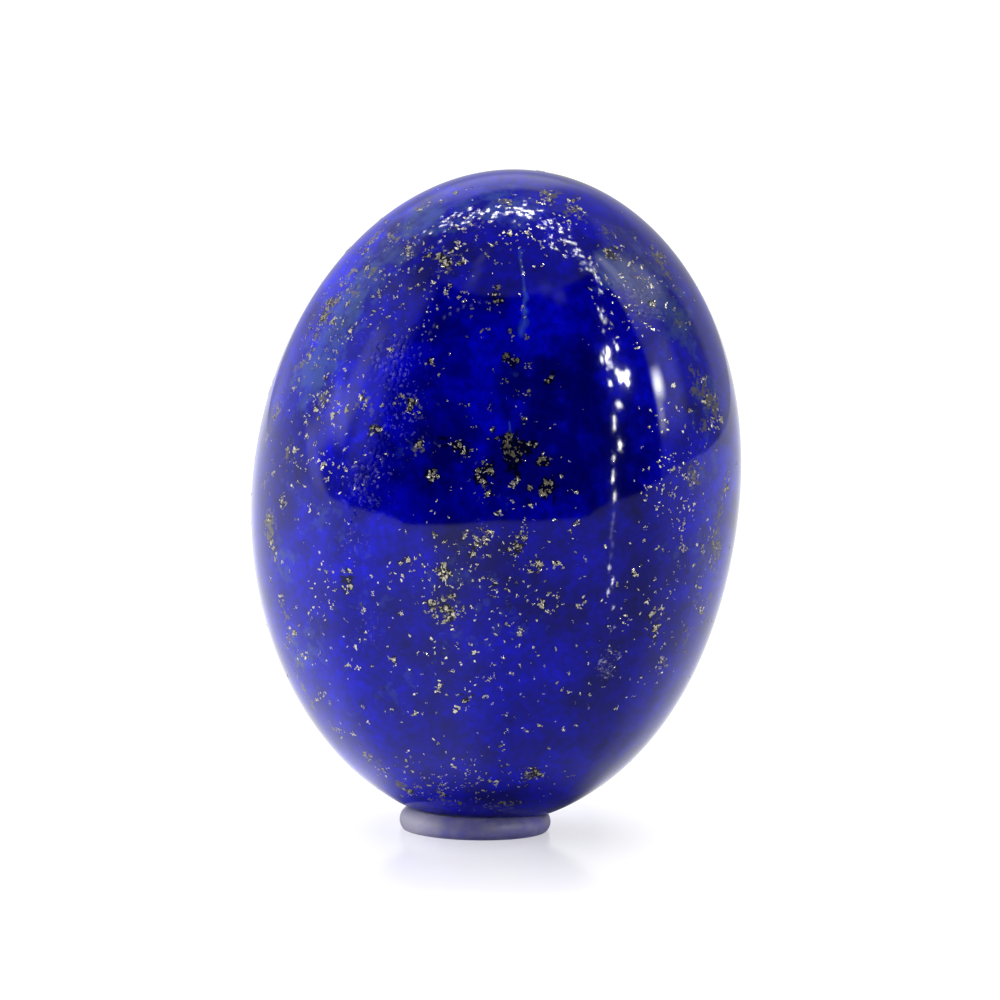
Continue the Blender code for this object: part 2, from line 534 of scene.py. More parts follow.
# Small clumps that stand out on the photographed side, across and up, in mm
SEEN_SPECKS = (
    (6.56, 3.46), (6.76, 2.98), (6.12, 3.46), (7.72, 3.46), (8.6, 2.94), (8.72, 3.62),
    (6.52, 1.86), (7.12, 1.42), (6.96, 1.06), (8.72, 1.86), (7.84, 0.6), (9.24, 0.94),
    (9.0, 0.0), (7.48, -0.18), (7.92, -0.3), (6.4, -0.38), (7.48, -1.02), (7.4, -1.58),
    (8.4, -0.94), (8.76, -2.06), (7.4, -2.18), (7.84, -2.78), (5.32, -1.9),
    (5.88, -1.74), (6.84, -2.22), (5.52, -3.06), (6.36, -3.3), (7.92, -4.34),
    (8.24, -4.7), (7.48, -5.4), (6.4, -7.46), (5.94, -4.22), (5.16, -4.74),
    (7.48, -6.18), (5.4, -7.98), (3.32, 11.94), (3.74, 9.6), (5.52, 10.34), (4.72, 10.5),
    (5.28, 9.3), (5.72, 9.18), (5.64, 8.78), (6.2, 8.38), (6.24, 7.58), (6.8, 7.74),
    (7.72, 7.3), (6.44, 6.66), (7.12, 4.46), (6.96, 5.5), (7.2, 3.6), (-6.04, 3.38),
    (-4.6, 3.66), (-6.08, 5.08), (-6.8, 4.78), (-8.36, 3.46), (-7.88, 2.46),
    (-8.44, 1.9), (-7.16, 1.42), (-6.8, 1.82), (-8.16, 0.42), (-5.36, 0.46),
    (-7.48, -0.5), (-7.96, -1.26), (-8.56, -2.62), (-7.08, -2.96), (-9.04, -3.3),
    (-6.56, -4.3), (-4.94, -3.94), (-5.32, -4.54), (-5.24, -5.42), (-5.64, -5.98),
    (-7.06, -6.18), (-6.8, -6.58), (-5.52, -6.9), (-4.96, -6.78), (-6.68, -8.26),
    (-5.34, -8.44), (-5.16, -8.98), (-3.78, -9.02), (-5.74, -9.46), (-6.2, -9.62),
    (-4.32, -10.86), (-3.4, -10.96), (-2.2, 5.1), (2.48, 5.3), (-1.12, 3.66),
    (1.02, 3.18), (-1.24, 3.22), (-0.16, 2.7), (2.6, 0.82), (0.64, -0.18), (1.08, -1.0),
    (0.26, -1.86), (-2.52, -1.46), (-3.08, -2.32), (-3.8, -2.66), (-0.04, -3.46),
    (0.5, -3.36), (1.08, -3.42), (-2.44, -4.8), (-3.76, -4.72), (-0.08, -4.04),
    (0.44, -5.14), (-1.72, -5.3), (-3.5, -5.54), (-3.18, -6.26), (-2.8, -6.3),
    (-0.92, -6.24), (1.48, -6.04), (2.36, -6.1), (-1.76, -7.02), (-0.12, -7.22),
    (-0.76, -7.22), (1.92, -6.74), (-3.2, -7.86), (2.82, -7.78), (3.3, -7.9),
    (3.7, -8.0), (1.14, -9.38), (2.64, -9.26), (0.12, -10.02), (2.04, -10.04),
    (-3.08, -11.66), (-0.84, -11.82), (-0.04, -11.5), (1.64, 11.7), (2.48, 11.26),
    (-1.04, 10.9), (-0.36, 10.98), (-2.2, 10.26), (-3.56, 10.22), (-0.64, 9.9),
    (-0.16, 10.02), (-1.32, 9.46), (-4.28, 10.3), (-4.52, 9.82), (-2.2, 11.82),
    (-4.44, 10.94), (-3.52, 10.94), (-6.0, 8.5), (-4.84, 8.72), (-4.32, 8.86),
    (-4.92, 7.42), (-4.28, 7.22), (-3.84, 8.42), (-2.92, 8.3), (-1.46, 7.98),
    (-1.22, 7.82), (-0.28, 7.54), (1.08, 8.96), (1.92, 9.66), (1.0, 7.62), (-0.36, 6.66),
    (-5.96, 7.74), (-6.44, 6.86), (-5.4, 7.02),
)


@dataclass(frozen=True)
class Swarm:
    """A wide, thin scatter of grains on the photographed side, as seen from the camera, in mm."""

    across: float
    up: float
    wide: float
    high: float
    clumps: int


# Where the thin scatter is thick enough to see
SEEN_SWARMS = tuple(
    Swarm(*row)
    for row in (
        (-0.6, -3.2, 4.0, 2.4, 190), (-0.5, -7.4, 4.2, 3.0, 110), (-4.0, 8.4, 3.4, 2.6, 210),
        (-6.8, 6.6, 1.6, 3.0, 110), (0.6, 10.4, 3.2, 1.5, 90), (5.6, 8.2, 2.2, 2.4, 110),
        (-6.8, 2.0, 2.2, 4.0, 140), (7.2, 0.0, 2.0, 4.5, 170), (5.8, -5.2, 2.4, 2.6, 80),
        (-7.0, -5.0, 2.4, 3.4, 70), (0.2, 2.6, 4.0, 3.6, 60), (-1.4, -11.4, 3.4, 1.0, 150),
    )
)


@dataclass
class Grains:
    """Pyrite grains on the stone.

    Attributes:
        places: Where each one is.
        outward: Which way is out of the rock there.
        sizes: How wide each is.
        bright: How bright each is, from 0 to 1.
        steep_dulls: How much duller the grains are where the stone's surface turns away from -Y,
            towards its edge.
    """

    places: list[Vector] = field(default_factory=list)
    outward: list[Vector] = field(default_factory=list)
    sizes: list[float] = field(default_factory=list)
    bright: list[float] = field(default_factory=list)
    steep_dulls: float = 0.62

    def add(self, found: Found | None, size_mm: float, bright: float) -> None:
        """Adds a grain if its place was found.

        Args:
            found: Its place and the surface's outward direction there, if any.
            size_mm: How wide it is.
            bright: How bright it would be on the broad face.
        """
        if found is None:
            return
        place, outward = found
        self.places.append(place)
        self.outward.append(outward)
        self.sizes.append(size_mm * MM)
        self.bright.append(bright * (1 - self.steep_dulls * (1 - outward.y**2)))


@dataclass
class PyriteSowing:
    """Sows the grains: those seen on the front, and others like them all round the stone.

    Sizes are in mm. Steps are in grain sizes, from least to most. Strays is how far outside its
    oval a group may grow, where 1 is not at all. A streak and the other habits that lie behind
    have their width as a share of their length.
    """

    stone: Placed
    seed: int = 11
    smallest: float = 0.03
    largest: float = 0.17
    size_spread: float = 0.42
    touching: float = 0.66
    touching_step: tuple[float, float] = (0.7, 1.0)
    loose_step: tuple[float, float] = (0.7, 1.6)
    strays: float = 1.4
    scattered_mm: float = 0.052
    scattered_bright: float = 1.02
    speck_mm: float = 0.06
    more_in_clump: float = 0.9
    more_in_speck: float = 3.2
    groups_behind: int = 120
    clumps_behind: int = 520
    habits_behind: tuple[Habit, ...] = (P, P, P, T, T, D, S, B)
    shortest_behind: float = 0.16
    longer_behind: tuple[float, float] = (2.0, 0.11)
    streak_width: float = 0.25
    widths_behind: tuple[float, float] = (0.35, 0.9)
    chance: np.random.Generator = field(init=False)

    def __post_init__(self) -> None:
        """Starts the random numbers."""
        self.chance = np.random.default_rng(self.seed)

    def grain_size(self, typical: float) -> float:
        """Draws one grain's size in millimetres about a typical one."""
        drawn = typical * math.exp(self.chance.normal(0, self.size_spread))
        return min(max(drawn, self.smallest), self.largest)

    def beside(self, spots: list[Spot], size: float, steps: tuple[float, float]) -> Spot:
        """Draws a spot next to an earlier one.

        Args:
            spots: The earlier spots.
            size: The grain size.
            steps: The least and most that they are apart, in grain sizes.

        Returns:
            The spot.
        """
        x, y = spots[self.chance.integers(len(spots))]
        way = self.chance.uniform(0, FULL_TURN)
        step = size * self.chance.uniform(*steps)
        return x + step * math.cos(way), y + step * math.sin(way)

    def group_spots(self, group: Group) -> list[Spot]:
        """Draws the spots of one group's grains.

        Most grains grow against an earlier one, which gives the ragged, branching outline that
        pyrite has in lapis.

        Args:
            group: The group.

        Returns:
            The spots, in millimetres from the group's middle.
        """
        filled, typical, _ = group.habit.value
        wanted = max(1, round(filled * group.long * group.short / (typical / 2) ** 2))
        cosine, sine = math.cos(math.radians(group.turn)), math.sin(math.radians(group.turn))
        spots: list[Spot] = []
        while len(spots) < wanted:
            if spots and self.chance.random() < self.touching:
                x, y = self.beside(spots, typical, self.touching_step)
                along, aside = x * cosine + y * sine, y * cosine - x * sine
                if math.hypot(along / group.long, aside / group.short) > self.strays:
                    continue
            else:
                way, reach = self.chance.uniform(0, FULL_TURN), math.sqrt(self.chance.random())
                along = group.long * reach * math.cos(way)
                aside = group.short * reach * math.sin(way)
                x, y = along * cosine - aside * sine, along * sine + aside * cosine
            spots.append((x, y))
        return spots

    def clump(self, more: float) -> list[Spot]:
        """Draws one loose clump.

        Args:
            more: How many more grains the first one has against it, on average.

        Returns:
            The grains' spots, in millimetres from the first.
        """
        spots = [(0.0, 0.0)]
        for _ in range(self.chance.poisson(more)):
            spots.append(self.beside(spots, self.scattered_mm, self.loose_step))
        return spots

    def add(
        self,
        grains: Grains,
        places: list[Found | None],
        typical: float,
        bright: float,
    ) -> None:
        """Adds a grain at each place that was found, of about the typical size in mm."""
        for found in places:
            grains.add(found, self.grain_size(typical), bright)

    def sow_front(self, grains: Grains) -> None:
        """Adds the groups and the scatter that the photographed side shows.

        Args:
            grains: What they are added to.
        """
        for group in SEEN_GROUPS:
            places = self.stone.seen(group.across, group.up, self.group_spots(group))
            self.add(grains, places, *group.habit.value[1:])
        for across, up in SEEN_SPECKS:
            places = self.stone.seen(across, up, self.clump(self.more_in_speck))
            self.add(grains, places, self.speck_mm, self.scattered_bright)
        for swarm in SEEN_SWARMS:
            for _ in range(swarm.clumps):
                across = swarm.across + self.chance.normal(0, swarm.wide / 2)
                up = swarm.up + self.chance.normal(0, swarm.high / 2)
                places = self.stone.seen(across, up, self.clump(self.more_in_clump))
                self.add(grains, places, self.scattered_mm, self.scattered_bright)

    def sow_behind(self, grains: Grains) -> None:
        """Adds groups and scatter of the same kinds on the sides that the camera doesn't see.

        Args:
            grains: What they are added to.
        """
        chance = self.chance
        for _ in range(self.groups_behind):
            place, outward = self.stone.unseen(chance)
            habit = self.habits_behind[chance.integers(len(self.habits_behind))]
            long = self.shortest_behind + chance.gamma(*self.longer_behind)
            width = self.streak_width if habit is S else chance.uniform(*self.widths_behind)
            group = Group(0.0, 0.0, long, long * width, chance.uniform(0, 180), habit)
            places = self.stone.near(place, outward, self.group_spots(group))
            self.add(grains, places, *habit.value[1:])
        for _ in range(self.clumps_behind):
            place, outward = self.stone.unseen(chance)
            places = self.stone.near(place, outward, self.clump(self.more_in_clump))
            self.add(grains, places, self.scattered_mm, self.scattered_bright)

    def sow(self) -> tuple[Grains, Grains]:
        """Sows every grain, the same way each time.

        Returns:
            The grains on the photographed side, and those on the other sides.
        """
        seen, behind = Grains(), Grains()
        self.sow_front(seen)
        self.sow_behind(behind)
        return seen, behind


@dataclass(frozen=True)
class Patch:
    """A soft patch on the photographed side, as seen from the camera, in mm."""

    across: float
    up: float
    reach: float
    strength: float


# Ground that is near black with diopside, in among the thickest pyrite
SEEN_GROUND = tuple(
    Patch(*row)
    for row in (
        (0.56, 5.45, 0.42, 0.7), (-2.65, 5.4, 0.25, 0.6), (0.64, 1.95, 0.55, 1.2),
        (0.7, 1.0, 0.35, 0.6), (1.9, 1.35, 0.3, 0.6), (2.0, 0.35, 0.6, 0.9), (-2.2, 2.2, 0.3, 0.6),
        (-1.5, 2.0, 0.4, 0.7), (-0.5, 0.8, 0.55, 0.6), (1.4, 2.1, 0.3, 0.7), (2.4, 5.1, 0.3, 0.5),
        (2.1, 4.7, 0.3, 0.6), (-2.7, 0.9, 0.3, 0.6), (-5.0, 2.7, 0.35, 0.7), (-2.7, 9.75, 0.25, 0.6),
        (-2.0, 9.55, 0.4, 0.6), (0.0, 7.9, 0.4, 0.7), (4.7, 9.75, 0.5, 0.6), (-1.2, -8.1, 0.4, 0.7),
        (6.25, 7.6, 0.3, 0.5), (-6.0, -3.4, 0.45, 0.6), (6.3, -5.4, 0.4, 0.7), (7.5, -5.4, 0.3, 0.5),
        (1.45, -11.1, 0.45, 0.7), (0.1, -3.6, 0.3, 0.4), (0.75, -2.1, 0.35, 0.6),
    )
)

# Wide clouds where the blue runs down to navy: partly the rock's own navy, and partly painted shade
# laid heavily along the rims and over the middle, where the tent's light leaves the blue too bright
SEEN_NAVY_AND_SHADE = tuple(
    Patch(*row)
    for row in (
        (-2.0, 5.2, 2.4, 0.5), (-8.0, 6.4, 1.7, 0.9), (-6.4, 9.6, 1.6, 0.8), (-9.0, 3.0, 1.5, 0.8),
        (-9.0, -3.2, 1.6, 0.5), (-3.6, 10.6, 1.8, 1.1), (-3.0, 12.0, 1.6, 0.6), (8.2, -2.2, 1.3, 0.6),
        (9.2, 3.0, 1.8, 1.1), (9.4, -1.0, 1.8, 1.0), (8.6, -5.0, 1.8, 0.5), (6.6, 9.4, 1.4, 0.6),
        (-2.4, 1.4, 2.2, 0.65), (2.6, 4.4, 2.0, 1.05), (3.2, 0.8, 1.9, 1.1), (5.5, 2.0, 1.6, 1.1),
        (5.7, -0.6, 1.5, 0.8), (-7.0, 4.4, 1.8, 0.6), (-7.2, 0.6, 1.7, 0.5), (-6.2, 7.0, 1.8, 0.5),
        (-4.8, 8.8, 2.2, 0.7), (-5.2, 0.8, 1.7, 0.8), (-5.0, 3.4, 1.6, 0.6), (-2.8, -11.4, 1.3, 0.6),
        (3.0, 3.8, 1.5, 0.88), (1.0, 1.4, 1.6, 1.12), (-2.2, 2.1, 1.2, 0.8), (2.8, 5.8, 1.0, 0.64),
        (0.6, 4.6, 0.8, 0.8), (0.4, -3.0, 1.6, 0.8), (-2.2, -3.6, 1.0, 0.56), (7.6, 3.5, 1.2, 0.96),
        (-0.5, 9.6, 1.4, 0.4), (-3.0, 8.8, 1.0, 0.64), (0.2, -12.2, 1.6, 1.2),
    )
)

# Thin veils of calcite, milky and a little green against the blue
SEEN_VEILS = tuple(
    Patch(*row)
    for row in (
        (-3.1, 2.1, 0.7, 0.5), (0.6, -0.2, 0.5, 0.45), (7.9, 0.9, 0.6, 0.6), (6.2, 8.0, 1.0, 1.1),
        (4.6, 8.8, 0.8, 0.8), (7.4, 6.4, 0.9, 0.7), (-1.0, -3.6, 1.6, 0.35), (0.8, -5.2, 1.4, 0.3),
        (-3.2, 9.9, 1.0, 0.4), (1.6, 11.2, 1.2, 0.4), (-7.4, -5.6, 1.2, 0.6), (-6.4, 7.2, 1.6, 0.6),
        (-4.6, 9.6, 1.5, 0.6), (-2.2, 11.4, 1.4, 0.9), (-7.8, 4.4, 1.4, 0.7), (7.4, 7.4, 1.3, 0.8),
        (5.6, 9.6, 1.4, 0.9), (8.6, 4.2, 1.1, 0.8), (8.4, -2.8, 1.3, 0.8), (4.2, 9.2, 0.8, 1.2),
        (0.4, 11.4, 1.2, 0.7), (-5.6, -3.4, 1.5, 0.5), (-4.2, -7.2, 1.4, 0.45), (-6.9, -1.2, 1.2, 0.5),
        (-5.8, -8.6, 0.6, 0.4), (0.7, 5.2, 0.5, 0.35), (-6.2, 6.3, 1.0, 0.45), (7.2, -2.2, 0.8, 0.4),
        (-7.2, 5.0, 1.2, 0.9), (-5.6, 8.2, 1.2, 0.9), (-3.4, 11.2, 1.0, 0.8), (-8.6, -2.4, 1.0, 0.9),
        (-8.0, -6.4, 1.2, 0.8), (8.6, 1.4, 0.8, 0.8), (-8.2, 1.0, 1.0, 0.45), (8.2, 3.6, 1.0, 0.5),
        (8.4, -0.8, 1.0, 0.5), (0.3, 12.2, 1.2, 0.5), (-2.2, -3.4, 0.9, 0.45), (-1.5, -6.0, 1.0, 0.4),
    )
)

# Pyrite too fine to tell apart, which shows as an olive-grey dusting
SEEN_DUST = tuple(
    Patch(*row)
    for row in (
        (7.9, 4.9, 0.35, 1.0), (8.0, 4.1, 0.4, 1.1), (8.3, 2.8, 0.4, 1.0), (8.9, -0.6, 0.4, 1.0),
        (8.7, -3.0, 0.4, 1.0), (8.4, -4.2, 0.45, 0.9), (-8.5, -4.6, 0.45, 0.9), (-7.9, -6.6, 0.4, 0.9),
        (-6.6, -9.2, 0.4, 0.9), (-9.3, 0.6, 0.35, 0.9), (-9.2, 2.4, 0.35, 0.8), (-7.9, 5.2, 0.4, 0.8),
        (-5.7, 8.2, 0.5, 0.8), (5.6, 9.0, 0.5, 0.7), (7.3, 7.0, 0.4, 0.8), (4.3, 10.6, 0.5, 0.8),
        (2.1, 12.1, 0.44, 1.2), (0.3, 11.75, 0.39, 1), (3.1, 11.4, 0.55, 1), (-1.9, 9.5, 0.55, 1),
        (-0.9, 10.8, 0.44, 0.65), (-9.1, -1.4, 0.5, 1.2), (-9.1, -0.8, 0.39, 0.91),
        (7.9, 0.8, 0.55, 1.2), (8.8, -2.2, 0.44, 1.2), (8.75, -1.4, 0.44, 1), (8.7, 3.6, 0.55, 1.2),
        (9.1, 0.3, 0.39, 0.91), (-5.3, 3.8, 0.44, 0.91), (-7.0, 3.8, 0.44, 0.91), (-6.4, 7.8, 0.39, 1),
        (-6.9, 7.1, 0.33, 1), (-7.2, 6.4, 0.33, 0.91), (-4.9, 2.7, 0.39, 0.78), (-3.3, 3.6, 0.44, 0.78),
        (-0.5, 0.7, 0.5, 0.78), (-3.1, 2.0, 0.39, 0.91), (-2.0, -4.6, 0.66, 0.65),
        (-0.8, -1.7, 0.66, 0.65), (6.4, 9.6, 0.44, 1.2), (6.8, 8.9, 0.39, 1), (8.4, 4.2, 0.44, 1),
        (-8.8, 3.4, 0.44, 1), (-8.4, 1.8, 0.44, 0.78), (-7.8, -7.6, 0.44, 1), (-7.4, -8.3, 0.39, 0.91),
        (-8.3, -5.6, 0.5, 0.91), (1.4, -11.1, 0.44, 0.91), (-3.8, -11.6, 0.5, 1),
        (-5.1, -10.4, 0.44, 0.91), (-2.2, -12.1, 0.55, 0.78), (0.2, -12.4, 0.55, 0.78),
        (-4.9, 10.4, 0.55, 0.91), (-4.0, 10.3, 0.44, 0.91), (-5.8, 9.0, 0.44, 0.91),
        (-5.0, 9.0, 0.44, 0.78), (-3.0, 11.6, 0.44, 0.78), (6.6, -6.8, 0.44, 0.78),
        (6.4, -5.0, 0.39, 0.65), (8.0, -4.0, 0.44, 0.78), (7.6, -5.6, 0.39, 0.78),
    )
)

# Where the polish is worn by fine pits, which break up what it mirrors; the same patches carry lilac
# dots, a painted reflection of the bright tent in the pits
SEEN_WEAR_AND_SHEEN = tuple(
    Patch(*row)
    for row in (
        (-4.6, 5.6, 1.1, 0.94), (-3.7, 5.4, 0.88, 1.2), (-3.8, 3.6, 0.99, 1.1), (-4.2, 2.0, 0.99, 0.94),
        (-5.4, 0.6, 1.1, 1.4), (-5.8, -1.9, 0.77, 1.2), (-5.3, -4.5, 0.55, 1.1),
        (-5.2, -5.6, 0.55, 1.1), (-6.4, 7.0, 1.3, 0.81), (5.4, 8.3, 0.99, 0.94), (6.4, 7.2, 0.88, 0.81),
        (4.4, -6.6, 0.66, 1.2),
    )
)

# Each kind of patch by the name that the finish reads, with how many more like them lie behind
PATCHES = {
    "ground": (SEEN_GROUND, 45),
    "navy_and_shade": (SEEN_NAVY_AND_SHADE, 26),
    "veil": (SEEN_VEILS, 26),
    "worn_and_sheen": (SEEN_WEAR_AND_SHEEN, 18),
    "dust": (SEEN_DUST, 70),
}


@dataclass(frozen=True)
class Vein:
    """A hairline of calcite on the front, by its two ends across and up the stone, in mm."""

    start: tuple[float, float]
    end: tuple[float, float]
    half_width: float
    strength: float


@dataclass(frozen=True)
class Layer:
    """One of the rock's colours, laid over the rest in rags where its patches are strong; some layers
    also carry painted shade and painted reflection.

    Attributes:
        name: The patches' stored name.
        colour: Its colour.
        rag_mm: The size of the rags.
        softness: How softly each rag fades.
        most: The most that it covers.
        sparse: How strong a patch must be before its rags close up.
    """

    name: str
    colour: str
    rag_mm: float
    softness: float
    most: float
    sparse: float = 1.0


@dataclass(frozen=True)
class PolishedLapis:
    """Lapis lazuli, shaped on a wheel and polished by hand.

    The lazurite is a deep, even ultramarine that turns royal blue where the rock is purest and
    navy in clouds; the navy is also laid on as painted shade along the rims and over the middle.
    Diopside makes near-black ground among the pyrite, calcite makes milky veils, and lilac dots in
    the worn patches are a painted reflection of the bright tent. The polish is bright but
    hand-made, so mirrored edges waver a little.
    """

    # Each colour of the lazurite, with the level of the clouds where it comes
    tints: tuple[tuple[float, str], ...] = ((0.34, "00007C"), (0.47, "0000B4"), (0.66, "0408D6"))
    cloud_mm: float = 3.5
    cloud_detail: float = 4.0
    crystal_mm: float = 0.3
    crystal_shades: tuple[float, float] = (0.8, 1.2)
    # Lumps, then grit: their size in mm, and the darkest and lightest of them
    mottles: tuple[tuple[float, float, float], ...] = ((0.7, 0.62, 1.3), (0.14, 0.7, 1.25))
    mottle_range: tuple[float, float] = (0.3, 0.7)
    low_layers: tuple[Layer, ...] = (
        # Navy clouds of the rock, and painted shade where the same patches darken the rims and the
        # middle
        Layer("navy_and_shade", "00005A", 0.5, 0.9, 0.8),
        Layer("veil", "4A66A2", 0.3, 0.8, 0.5),
    )
    high_layers: tuple[Layer, ...] = (
        Layer("dust", "6F6B48", 0.12, 0.5, 0.75, 1.3),
        # Painted reflection: lilac dots in the worn patches that stand for the bright tent mirrored in
        # the pits
        Layer("worn_and_sheen", "6C66C4", 0.085, 0.9, 0.55, 4.2),
        Layer("ground", "020312", 0.13, 0.4, 0.92),
    )
    # The noise levels where rags are thickest and thinnest
    rag_range: tuple[float, float] = (0.32, 0.68)
    noise_roughness: float = 0.6
    vein: str = "5C88CC"
    veins: tuple[Vein, ...] = (
        Vein((0.74, 10.3), (0.84, 8.9), 0.06, 0.2),
        Vein((0.84, 8.9), (0.9, 8.1), 0.08, 0.28),
        Vein((0.9, 8.1), (0.84, 7.3), 0.12, 0.25),
        Vein((0.4, 3.9), (0.55, 2.2), 0.03, 0.3),
    )
    # The size of the bends in a hairline, and how far they shift it aside
    wander_mm: float = 0.5
    wander: float = 0.16
    # The wavering of the polish, broad and fine: its size in mm, and its height
    waves: tuple[tuple[float, float], ...] = ((2.4, 0.019 * MM), (0.5, 0.0028 * MM))
    pit_mm: float = 0.085
    pit_height: float = 0.014 * MM
    worn_mm: float = 0.3
    worn_softness: float = 0.5
    ior: float = 1.5
    specular: float = 0.3
    roughness: float = 0.06

    def noise(self, place: Socket, size_mm: float, detail: float) -> dict[str, Socket | float]:
        """Gives the inputs of a noise node whose lumps are about so many mm across."""
        scale = NOISE_LUMP / size_mm
        return {"Vector": place, "Scale": scale, "Detail": detail, "Roughness": self.noise_roughness}

    def mottle(
        self, tree: Tree, noise: Mapping[str, Socket | float], levels: Sequence, values: Sequence
    ) -> Socket:
        """Makes noise, and maps a low and a high level of it to the values that are wanted."""
        lumps = add_node(tree, "ShaderNodeTexNoise", noise)
        return add_node(tree, "ShaderNodeMapRange", dict(enumerate((lumps, *levels, *values))))

    def ragged(
        self,
        tree: Tree,
        place: Socket,
        name: str,
        size_mm: float,
        softness: float,
        sparse: float = 1.0,
    ) -> Socket:
        """Breaks stored soft patches into rags, which close up where a patch is strong.

        Args:
            tree: The material's nodes.
            place: Coordinates in mm.
            name: The patches' stored name.
            size_mm: The size of the rags.
            softness: How softly each rag fades.
            sparse: How strong a patch must be before its rags close up.

        Returns:
            The share, from 0 to 1.
        """
        soft = add_node(tree, "ShaderNodeAttribute", attribute_name=name, output="Fac")
        level = self.mottle(tree, self.noise(place, size_mm, 2.0), self.rag_range, (0.0, sparse))
        over = add_node(tree, "ShaderNodeMath", {0: soft, 1: level}, operation="SUBTRACT")
        return add_node(tree, "ShaderNodeMapRange", {"Value": over, "From Max": softness})

    def lay(self, tree: Tree, place: Socket, under: Socket, layer: Layer) -> Socket:
        """Lays one of the rock's colours over the rest.

        Args:
            tree: The material's nodes.
            place: Coordinates in mm.
            under: The colour so far.
            layer: What is laid over it.

        Returns:
            The colour with it.
        """
        rags = self.ragged(tree, place, layer.name, layer.rag_mm, layer.softness, layer.sparse)
        share = add_node(tree, "ShaderNodeMath", {0: rags, 1: layer.most}, operation="MULTIPLY")
        inputs = {0: share, COLOUR_A: under, COLOUR_B: linear(layer.colour)}
        return add_node(tree, "ShaderNodeMix", inputs, MIXED_COLOUR, data_type="RGBA")

    def along_vein(self, tree: Tree, flat: Socket, vein: Vein) -> Socket:
        """Works out a vein's share from how near its line a place is.

        Args:
            tree: The material's nodes.
            flat: Coordinates in mm, all on the plane that the vein's ends are on.
            vein: The vein.

        Returns:
            The share, from 0 to the vein's strength.
        """
        start = Vector((vein.start[0], 0, vein.start[1]))
        along = Vector((vein.end[0], 0, vein.end[1])) - start
        ahead = tuple(along / along.length_squared)
        off = add_node(
            tree, "ShaderNodeVectorMath", {0: flat, 1: tuple(start)}, operation="SUBTRACT"
        )
        reach = add_node(
            tree, "ShaderNodeVectorMath", {0: off, 1: ahead}, "Value", operation="DOT_PRODUCT"
        )
        held = add_node(tree, "ShaderNodeClamp", {0: reach})
        nearest = add_node(
            tree, "ShaderNodeVectorMath", {0: tuple(along), "Scale": held}, operation="SCALE"
        )
        far = add_node(
            tree, "ShaderNodeVectorMath", {0: off, 1: nearest}, "Value", operation="DISTANCE"
        )
        inputs = dict(enumerate((far, 0.0, vein.half_width * 2, vein.strength, 0.0)))
        return add_node(tree, "ShaderNodeMapRange", inputs)

    def veined(self, tree: Tree, place: Socket, tint: Socket) -> Socket:
        """Lays the calcite hairlines, which wander a little, over the front.

        Args:
            tree: The material's nodes.
            place: Coordinates in mm.
            tint: The colour so far.

        Returns:
            The colour with them.
        """
        noise = self.noise(place, self.wander_mm, 2.0)
        shift = self.mottle(tree, noise, self.mottle_range, (-self.wander, self.wander))
        aside = add_node(tree, "ShaderNodeCombineXYZ", {0: shift})
        wandering = add_node(tree, "ShaderNodeVectorMath", {0: place, 1: aside}, operation="ADD")
        flat = add_node(
            tree, "ShaderNodeVectorMath", {0: wandering, 1: (1.0, 0.0, 1.0)}, operation="MULTIPLY"
        )
        depth = add_node(tree, "ShaderNodeSeparateXYZ", {0: wandering}, output=1)
        front = add_node(tree, "ShaderNodeMath", {0: depth, 1: 0.0}, operation="LESS_THAN")
        for vein in self.veins:
            near = self.along_vein(tree, flat, vein)
            share = add_node(tree, "ShaderNodeMath", {0: near, 1: front}, operation="MULTIPLY")
            inputs = {0: share, COLOUR_A: tint, COLOUR_B: linear(self.vein)}
            tint = add_node(tree, "ShaderNodeMix", inputs, MIXED_COLOUR, data_type="RGBA")
        return tint

    def colour(self, tree: Tree, place: Socket) -> Socket:
        """Mixes the rock's colours: clouds, crystals, mottling, layers and veins.

        Args:
            tree: The material's nodes.
            place: Coordinates in mm.

        Returns:
            The colour.
        """
        noise = self.noise(place, self.cloud_mm, self.cloud_detail)
        clouds = add_node(tree, "ShaderNodeTexNoise", noise)
        tint = add_node(tree, "ShaderNodeValToRGB", {"Fac": clouds})
        set_ramp(tint, *self.tints)
        inputs = {"Vector": place, "Scale": 1 / self.crystal_mm}
        crystals = add_node(tree, "ShaderNodeTexVoronoi", inputs, output=1)
        inputs = dict(enumerate((crystals, 0.0, 1.0, *self.crystal_shades)))
        shades = [add_node(tree, "ShaderNodeMapRange", inputs)]
        for size_mm, darkest, lightest in self.mottles:
            noise = self.noise(place, size_mm, 3.0)
            shades.append(self.mottle(tree, noise, self.mottle_range, (darkest, lightest)))
        for shade in shades:
            tint = add_node(
                tree, "ShaderNodeVectorMath", {0: tint, "Scale": shade}, operation="SCALE"
            )
        for layer in self.low_layers:
            tint = self.lay(tree, place, tint, layer)
        tint = self.veined(tree, place, tint)
        for layer in self.high_layers:
            tint = self.lay(tree, place, tint, layer)
        return tint

    def relief(self, tree: Tree, place: Socket) -> Socket:
        """Makes the polish waver, and pits it where it is worn.

        Args:
            tree: The material's nodes.
            place: Coordinates in mm.

        Returns:
            The direction that the surface faces.
        """
        worn_and_sheen = self.ragged(tree, place, "worn_and_sheen", self.worn_mm, self.worn_softness)
        reliefs = [(*wave, 1.0) for wave in self.waves] + [(self.pit_mm, self.pit_height, worn_and_sheen)]
        below: dict[str, Socket] = {}
        for size_mm, height, strength in reliefs:
            lumps = add_node(tree, "ShaderNodeTexNoise", self.noise(place, size_mm, 0.0))
            inputs = {"Strength": strength, "Distance": height, "Height": lumps, **below}
            below = {"Normal": add_node(tree, "ShaderNodeBump", inputs)}
        return below["Normal"]

